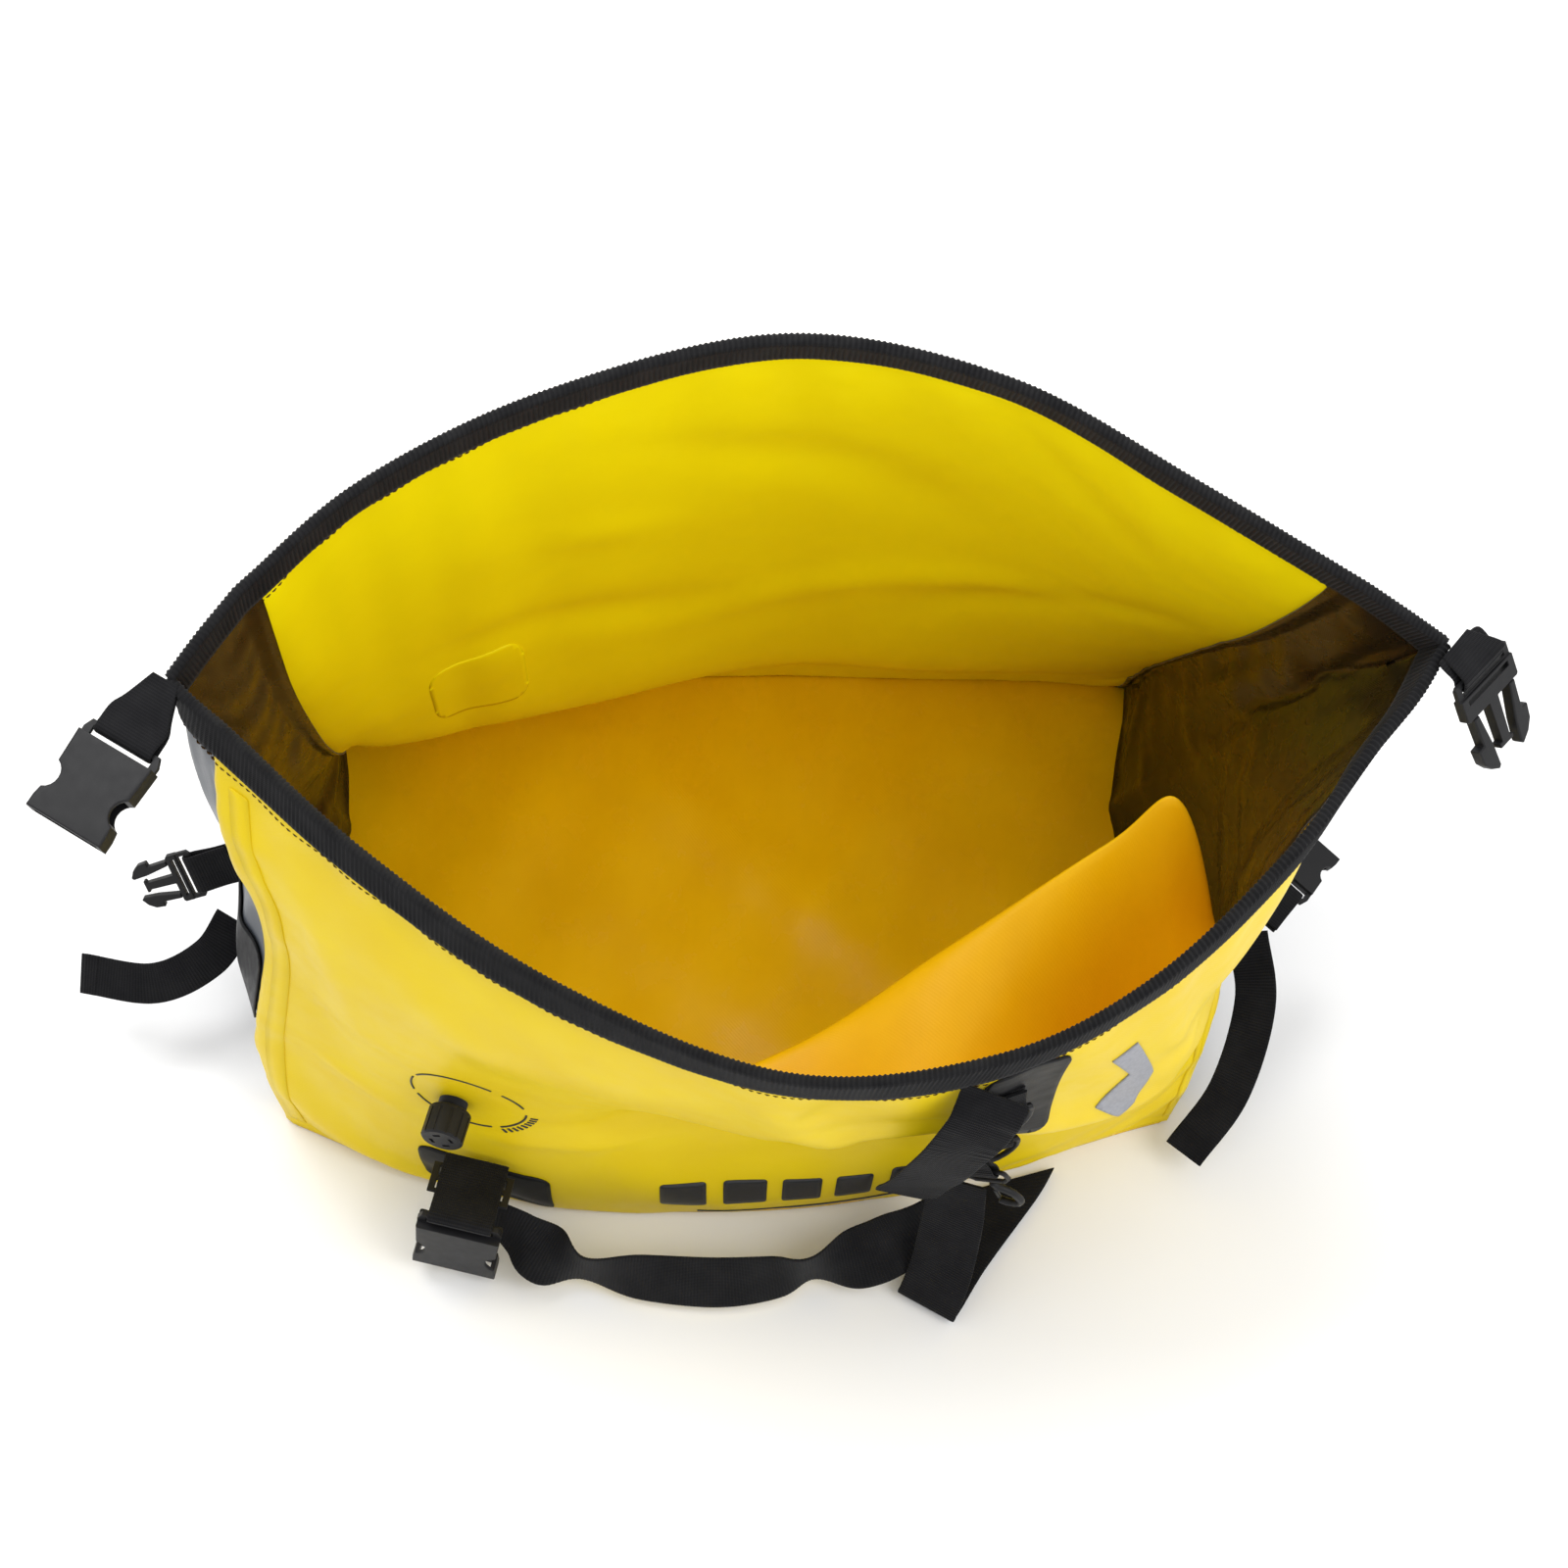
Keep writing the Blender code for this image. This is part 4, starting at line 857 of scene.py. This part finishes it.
def side_straps():
    webbing(
        "side_strap_left", loop_route(SIDE_LEFT, 0.024), [across_of(SIDE_LEFT)] * 11, [NARROW] * 11,
        "side_loop_left", 4,
    )
    webbing(
        "side_strap_right", loop_route(SIDE_RIGHT, 0.026), [across_of(SIDE_RIGHT)] * 11, [NARROW] * 11,
        "side_loop_right", 4,
    )
    webbing(
        "loose_end_left",
        [(-0.296, -0.058, 0.078), (-0.312, -0.078, 0.066), (-0.345, -0.090, 0.056), (-0.391, -0.080, 0.050)],
        [(0, 0.75, 0.66)] * 4, [NARROW] * 4, "side_tail_left", 14, hems=[(0.90, 0.985)],
    )
    webbing(
        "loose_end_right",
        [(0.307, -0.088, 0.118), (0.313, -0.120, 0.090), (0.300, -0.157, 0.048), (0.273, -0.187, 0.022)],
        [(0.30, 0.62, 0.72), (0.80, 0.0, 0.45), (0.93, -0.30, 0.1), (0.93, -0.36, 0)],
        [NARROW] * 4, "side_tail_right", 14, hems=[(0.90, 0.985)],
    )


# ---- patches, prints and welds on the panels -----------------------------------------------------
def spot(span, u, v):
    """The point and the outward direction at shares u and v of a span."""
    low, high = REACH[span]
    wide = high - low
    tall = GRID.shape[1] - 1
    c, r = u * wide, v * tall
    i, j = min(int(c), wide - 1), min(int(r), tall - 1)
    a, b = (low + i) % len(GRID), (low + i + 1) % len(GRID)
    fx, fy = c - i, r - j

    def at(field):
        return ((field[a, j] * (1 - fx) + field[b, j] * fx) * (1 - fy)
                + (field[a, j + 1] * (1 - fx) + field[b, j + 1] * fx) * fy)

    return at(GRID), unit(at(OUT))


def laid(
    name, span, outline, look, lift=0.0012, depth=0.0008, node=None, inside=False, cell=0.003
):
    """A thin film on a panel. outline is a list of (u, v) shares; it is filled with a fine mesh."""
    shape = bmesh.new()
    edge = [shape.verts.new((u, v, 0)) for u, v in outline]
    shape.faces.new(edge)
    low = np.array(outline).min(0)
    high = np.array(outline).max(0)
    size_u = np.linalg.norm(spot(span, high[0], low[1])[0] - spot(span, low[0], low[1])[0])
    size_v = np.linalg.norm(spot(span, low[0], high[1])[0] - spot(span, low[0], low[1])[0])
    for axis, size in ((0, size_u), (1, size_v)):
        cuts = max(2, int(size / cell))
        for k in range(1, cuts):
            place = low + (high - low) * k / cuts
            normal = (1, 0, 0) if axis == 0 else (0, 1, 0)
            bmesh.ops.bisect_plane(
                shape, geom=shape.verts[:] + shape.edges[:] + shape.faces[:],
                plane_co=(place[0], place[1], 0), plane_no=normal,
            )
    bmesh.ops.triangulate(shape, faces=[f for f in shape.faces if len(f.verts) > 4])
    shape.verts.index_update()
    flat = [(v.co.x, v.co.y) for v in shape.verts]
    faces = [[v.index for v in f.verts] for f in shape.faces]
    rim = [e for e in shape.edges if len(e.link_faces) == 1]
    border = [(e.verts[0].index, e.verts[1].index) for e in rim]
    shape.free()
    turn = -1 if inside else 1
    top, low_side, cloth = [], [], []
    for u, v in flat:
        point, out = spot(span, u, v)
        way = out * turn
        start = 0.0008 if not inside else -0.0001 + FABRIC - 0.0008
        top.append(point + way * (start + lift - 0.0008 + depth))
        low_side.append(point + way * (start - 0.0003))
        cloth.append((u * 0.6, v * 0.5, 0))
    count = len(flat)
    solid = faces + [[i + count for i in f[::-1]] for f in faces]
    solid += [[a, b, b + count, a + count] for a, b in border]
    piece = new_piece(name, top + low_side, solid, [look], "bag", cloth + cloth)
    shape = bmesh.new()
    shape.from_mesh(piece.data)
    bmesh.ops.recalc_face_normals(shape, faces=shape.faces)
    shape.to_mesh(piece.data)
    shape.free()
    if node:
        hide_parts(node)
    return piece


def rounded(low, high, radius, steps=5):
    """A rectangle in shares with round corners. radius is (share of u, share of v)."""
    corners = [
        ((high[0], high[1]), 0), ((low[0], high[1]), 90), ((low[0], low[1]), 180), ((high[0], low[1]), 270),
    ]
    made = []
    for (x, y), start in corners:
        cx = x - radius[0] * (1 if x == high[0] else -1)
        cy = y - radius[1] * (1 if y == high[1] else -1)
        for k in range(steps + 1):
            angle = radians(start + 90 * k / steps)
            made.append((cx + radius[0] * cos(angle), cy + radius[1] * sin(angle)))
    return made


def band(centre, radius, width, start, end, aspect, steps=14):
    """A flat arc in shares. aspect turns metres into shares of u and v."""
    outer = [(radius + width / 2, start + (end - start) * k / steps) for k in range(steps + 1)]
    inner = [(radius - width / 2, a) for _, a in reversed(outer)]
    return [(centre[0] + r * cos(radians(a)) * aspect[0], centre[1] + r * sin(radians(a)) * aspect[1])
            for r, a in outer + inner]


def patches():
    laid("reinforcement_left", "front", rounded((0.155, 0.05), (0.265, 0.20), (0.014, 0.02)), FILM,
         node="anchor_patch_left")
    laid("reinforcement_right", "front", rounded((0.575, 0.64), (0.645, 0.93), (0.014, 0.03)), FILM,
         node="anchor_patch_right")
    laid("side_reinforcement_left", "left_front", rounded((0.12, 0.27), (0.88, 0.49), (0.10, 0.03)), FILM,
         node="side_patch_left")
    laid("side_reinforcement_right", "right_front", rounded((0.12, 0.27), (0.88, 0.49), (0.10, 0.03)), FILM,
         node="side_patch_right")
    arrow = [
        (0.690, 0.82), (0.716, 0.835), (0.752, 0.70), (0.735, 0.64), (0.715, 0.62), (0.688, 0.66),
        (0.716, 0.735),
    ]
    laid(
        "reflective_chevron", "front", arrow[::-1], SILVER, node="chevron_strip",
        cell=0.002,
    )


def prints():
    """Plain marks where the bag's print would be, and the arcs and ticks round the valve."""
    block = rounded((0.525, 0.125), (0.590, 0.215), (0.004, 0.010))
    laid("printed_block", "front", block, INK, depth=0.0001)
    for k in range(4):
        low = 0.345 + 0.044 * k
        outline = rounded((low, 0.135), (low + 0.032, 0.205), (0.003, 0.008))
        laid(f"printed_bar_{k}", "front", outline, INK, depth=0.0001)
    laid("printed_rule", "front", rounded((0.37, 0.075), (0.58, 0.092), (0.002, 0.004)), INK, depth=0.0001)
    centre = (0.205, 0.425)
    aspect = (1 / 0.62, 1.25 / 0.42)
    for k, (start, end) in enumerate([(15, 50), (62, 150), (160, 195), (205, 250), (262, 292), (302, 356)]):
        arc = band(centre, 0.029, 0.0010, start, end, aspect)
        laid(f"valve_arc_{k}", "front", arc, INK, depth=0.0001, cell=0.004)
    for k in range(9):
        start = 300 + 6 * k
        laid(f"valve_tick_{k}", "front", band(centre, 0.033, 0.0035, start, start + 2.2, aspect, 2), INK,
             depth=0.0001, cell=0.004)


def welds():
    """The weld bands along the front and back edges, and the welds that show through inside."""
    for name, u, look in (("weld_front_left", 0.018, YELLOW), ("weld_front_right", 0.978, YELLOW)):
        laid(name, "front", rounded((u - 0.009, 0.03), (u + 0.009, 0.93), (0.002, 0.004)), look, depth=0.0003,
             cell=0.004)
    for name, u in (("weld_back_right", 0.022), ("weld_back_left", 0.978)):
        laid(name, "back", rounded((u - 0.010, 0.03), (u + 0.010, 0.93), (0.002, 0.004)), YELLOW, depth=0.0003,
             cell=0.004)
    laid("weld_inside_back", "back", rounded((0.72, 0.37), (0.82, 0.50), (0.02, 0.03)), INNER_YELLOW,
         depth=0.0002, inside=True)
    laid("weld_inside_front", "front", rounded((0.575, 0.64), (0.645, 0.90), (0.014, 0.03)), FRONT_INSIDE_PAINTED_SHADE,
         depth=0.0002, inside=True)


# ---- front straps --------------------------------------------------------------------------------
def handle_anchor():
    place = frame_of((-0.153, -0.2515, 0.068), (-0.12, 0.0, -0.99), (0.97, -0.2, -0.12))
    turn = BAR + 0.0010 + WEB / 2
    root, bar, side = Vector((-0.150, -0.2085, 0.060)), place.translation, across_of(place)
    forward = bar - root
    forward = (forward - side * forward.dot(side)).normalized()
    rise = side.cross(forward).normalized()
    if rise.z < 0:
        rise = -rise
    reach = (bar - root).dot(forward)
    apart = 0.0022
    local = [(-reach, apart), (-reach * 0.45, apart), (-0.0060, turn), (0, turn), (turn * 0.71, turn * 0.71),
             (turn, 0), (turn * 0.71, -turn * 0.71), (0, -turn), (-0.0060, -turn), (-reach * 0.45, -apart),
             (-reach, -apart)]
    route = [bar + forward * a + rise * b for a, b in local]
    webbing("handle_anchor_strap", route, [side] * 11, [WIDE] * 11, "handle_anchor_web", 5)


def carry_handle():
    route = [
        (-0.160, -0.2150, 0.035), (-0.148, -0.2240, 0.036), (-0.135, -0.2340, 0.036),
        (-0.122, -0.2430, 0.034), (-0.106, -0.2550, 0.030), (-0.084, -0.2620, 0.026),
        (-0.050, -0.2670, 0.024), (-0.005, -0.2700, 0.023),
        (0.030, -0.2670, 0.024), (0.052, -0.2620, 0.026), (0.080, -0.2560, 0.028), (0.098, -0.2490, 0.030),
        (0.114, -0.2390, 0.034), (0.130, -0.2260, 0.038),
    ]
    sides = [
        (0, -0.05, 1.0), (0, 0.12, 0.99), (0.02, 0.20, 0.97), (0.05, 0.45, 0.89),
        (0.10, 0.80, 0.60), (0.0, -0.05, 1.0), (0.0, 0.35, 0.94), (0.0, 0.45, 0.89),
        (0.0, 0.30, 0.95), (0.0, -0.05, 1.0), (-0.08, 0.80, 0.60), (-0.10, 0.80, 0.58),
        (-0.06, 0.45, 0.88), (0, 0.20, 0.98),
    ]
    webbing("carry_handle", route, sides, [WIDE] * len(route), "carry_strap", 10)


def ring_frame(origin):
    return Matrix.Translation(origin) @ Matrix.Rotation(radians(20), 4, "Z")


def ring_tab(name, place, climb, node):
    turn = 0.0019 + 0.0006 + WEB / 2
    local = [(0, 0.0026, climb), (0, 0.0026, climb * 0.5), (0, turn, 0.004), (0, turn, 0),
             (0, turn * 0.71, -turn * 0.71), (0, 0, -turn), (0, -turn * 0.71, -turn * 0.71), (0, -turn, 0),
             (0, -turn, 0.004), (0, -0.0002, climb * 0.5), (0, -0.0002, climb)]
    across = place.to_3x3() @ Vector((1, 0, 0))
    webbing(name, [place @ Vector(p) for p in local], [across] * 11, [0.025] * 11, node, 4)


def front_straps():
    ring_tab("ring_tab_high", ring_frame((0.155, -0.2460, 0.204)), 0.022, "ring_tab_upper")
    ring_tab("ring_tab_low", ring_frame((0.153, -0.2240, 0.114)), 0.024, "ring_tab_lower")
    place = frame_of((0.150, -0.2500, 0.128), (0.45, -0.05, -0.89), (0.85, -0.30, 0.43))
    turn = 0.0015 + 0.0007 + WEB / 2
    local = [(-0.0270, 0, 0.0015), (-0.0180, 0, 0.0017), (-0.0135, 0, turn)]
    local += [(-0.0095 + turn * sin(a), 0, turn * cos(a)) for a in (0, pi / 4, pi / 2, 3 * pi / 4, pi)]
    local += [(-0.0135, 0, -turn), (-0.0180, 0, -0.0017), (-0.0270, 0, -0.0015)]
    webbing(
        "hook_strap", [place @ Vector(p) for p in local], [across_of(place)] * 11, [0.020] * 11, "hook_web", 4
    )
    webbing(
        "shoulder_strap_high",
        [(0.149, -0.2530, 0.2430), (0.142, -0.2630, 0.226), (0.130, -0.2665, 0.198),
         (0.116, -0.2600, 0.150), (0.107, -0.2470, 0.105), (0.104, -0.2400, 0.082)],
        [(0.92, 0.12, 0.38), (0.90, 0.10, 0.42), (0.88, -0.05, 0.47), (0.86, -0.15, 0.48),
         (0.84, -0.22, 0.50), (0.80, -0.30, 0.52)],
        [WIDE] * 5 + [WIDE * 0.9], "shoulder_strap_upper", 14,
    )
    across = (0.86, -0.51, 0)
    webbing(
        "shoulder_strap_low",
        [(0.1340, -0.2425, 0.106), (0.1320, -0.2515, 0.075), (0.1265, -0.2660, 0.036),
         (0.1190, -0.2775, 0.0105), (0.1185, -0.2760, 0.0050), (0.1230, -0.2690, 0.0045),
         (0.1390, -0.2420, 0.0045), (0.1580, -0.2140, 0.0045), (0.1700, -0.1960, 0.0045)],
        [(0.84, -0.2, -0.1), (0.86, -0.35, -0.05), across, across, across, across, across, (0.90, -0.2, 0),
         (0.96, 0.29, 0)],
        [WIDE * 0.88, WIDE * 0.96] + [WIDE] * 5 + [WIDE * 1.12, WIDE * 1.5], "shoulder_strap_lower", 10,
        oblique=True,
    )


# ---- moulded parts -------------------------------------------------------------------------------
def dress_hardware():
    """Moulded CAD parts keep their shape: rounded edges and a real plastic finish."""
    rounded_nodes = (
        "mouth_buckle_female", "mouth_buckle_male", "mouth_prong_a", "mouth_prong_b", "side_buckle_female",
        "side_buckle_male", "side_prong_a", "side_prong_b", "handle_buckle_female", "valve_body", "valve_seal",
        "ring_upper", "ring_lower", "hook_swivel", "hook_body", "hook_gate", "valve_cap", "tri_glide",
    )
    for name in rounded_nodes:
        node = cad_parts.get(name)
        if node is None:
            continue
        node.data.materials.clear()
        node.data.materials.append(RUBBER if name == "valve_seal" else PLASTIC)
        weld = node.modifiers.new("weld", "WELD")
        weld.merge_threshold = 0.00001
        if "buckle" in name or "prong" in name or name in ("valve_cap", "tri_glide"):
            bevel = node.modifiers.new("edges", "BEVEL")
            bevel.width = EDGE
            bevel.segments = 3
            bevel.limit_method = "ANGLE"
            bevel.angle_limit = radians(35)
            bevel.use_clamp_overlap = True
        for face in node.data.polygons:
            face.use_smooth = True
        smooth = node.modifiers.new("normals", "WEIGHTED_NORMAL")
        smooth.keep_sharp = True


def main():
    studio()
    floor()
    walls()
    base()
    binding("rim_webbing_front", "rim_binding_front", ("left_front", "right_front"))
    binding("rim_webbing_back", "rim_binding_back", ("right_back", "left_back"))
    rim_stitches()
    mouth_straps()
    side_straps()
    patches()
    prints()
    welds()
    handle_anchor()
    carry_handle()
    front_straps()
    dress_hardware()


main()
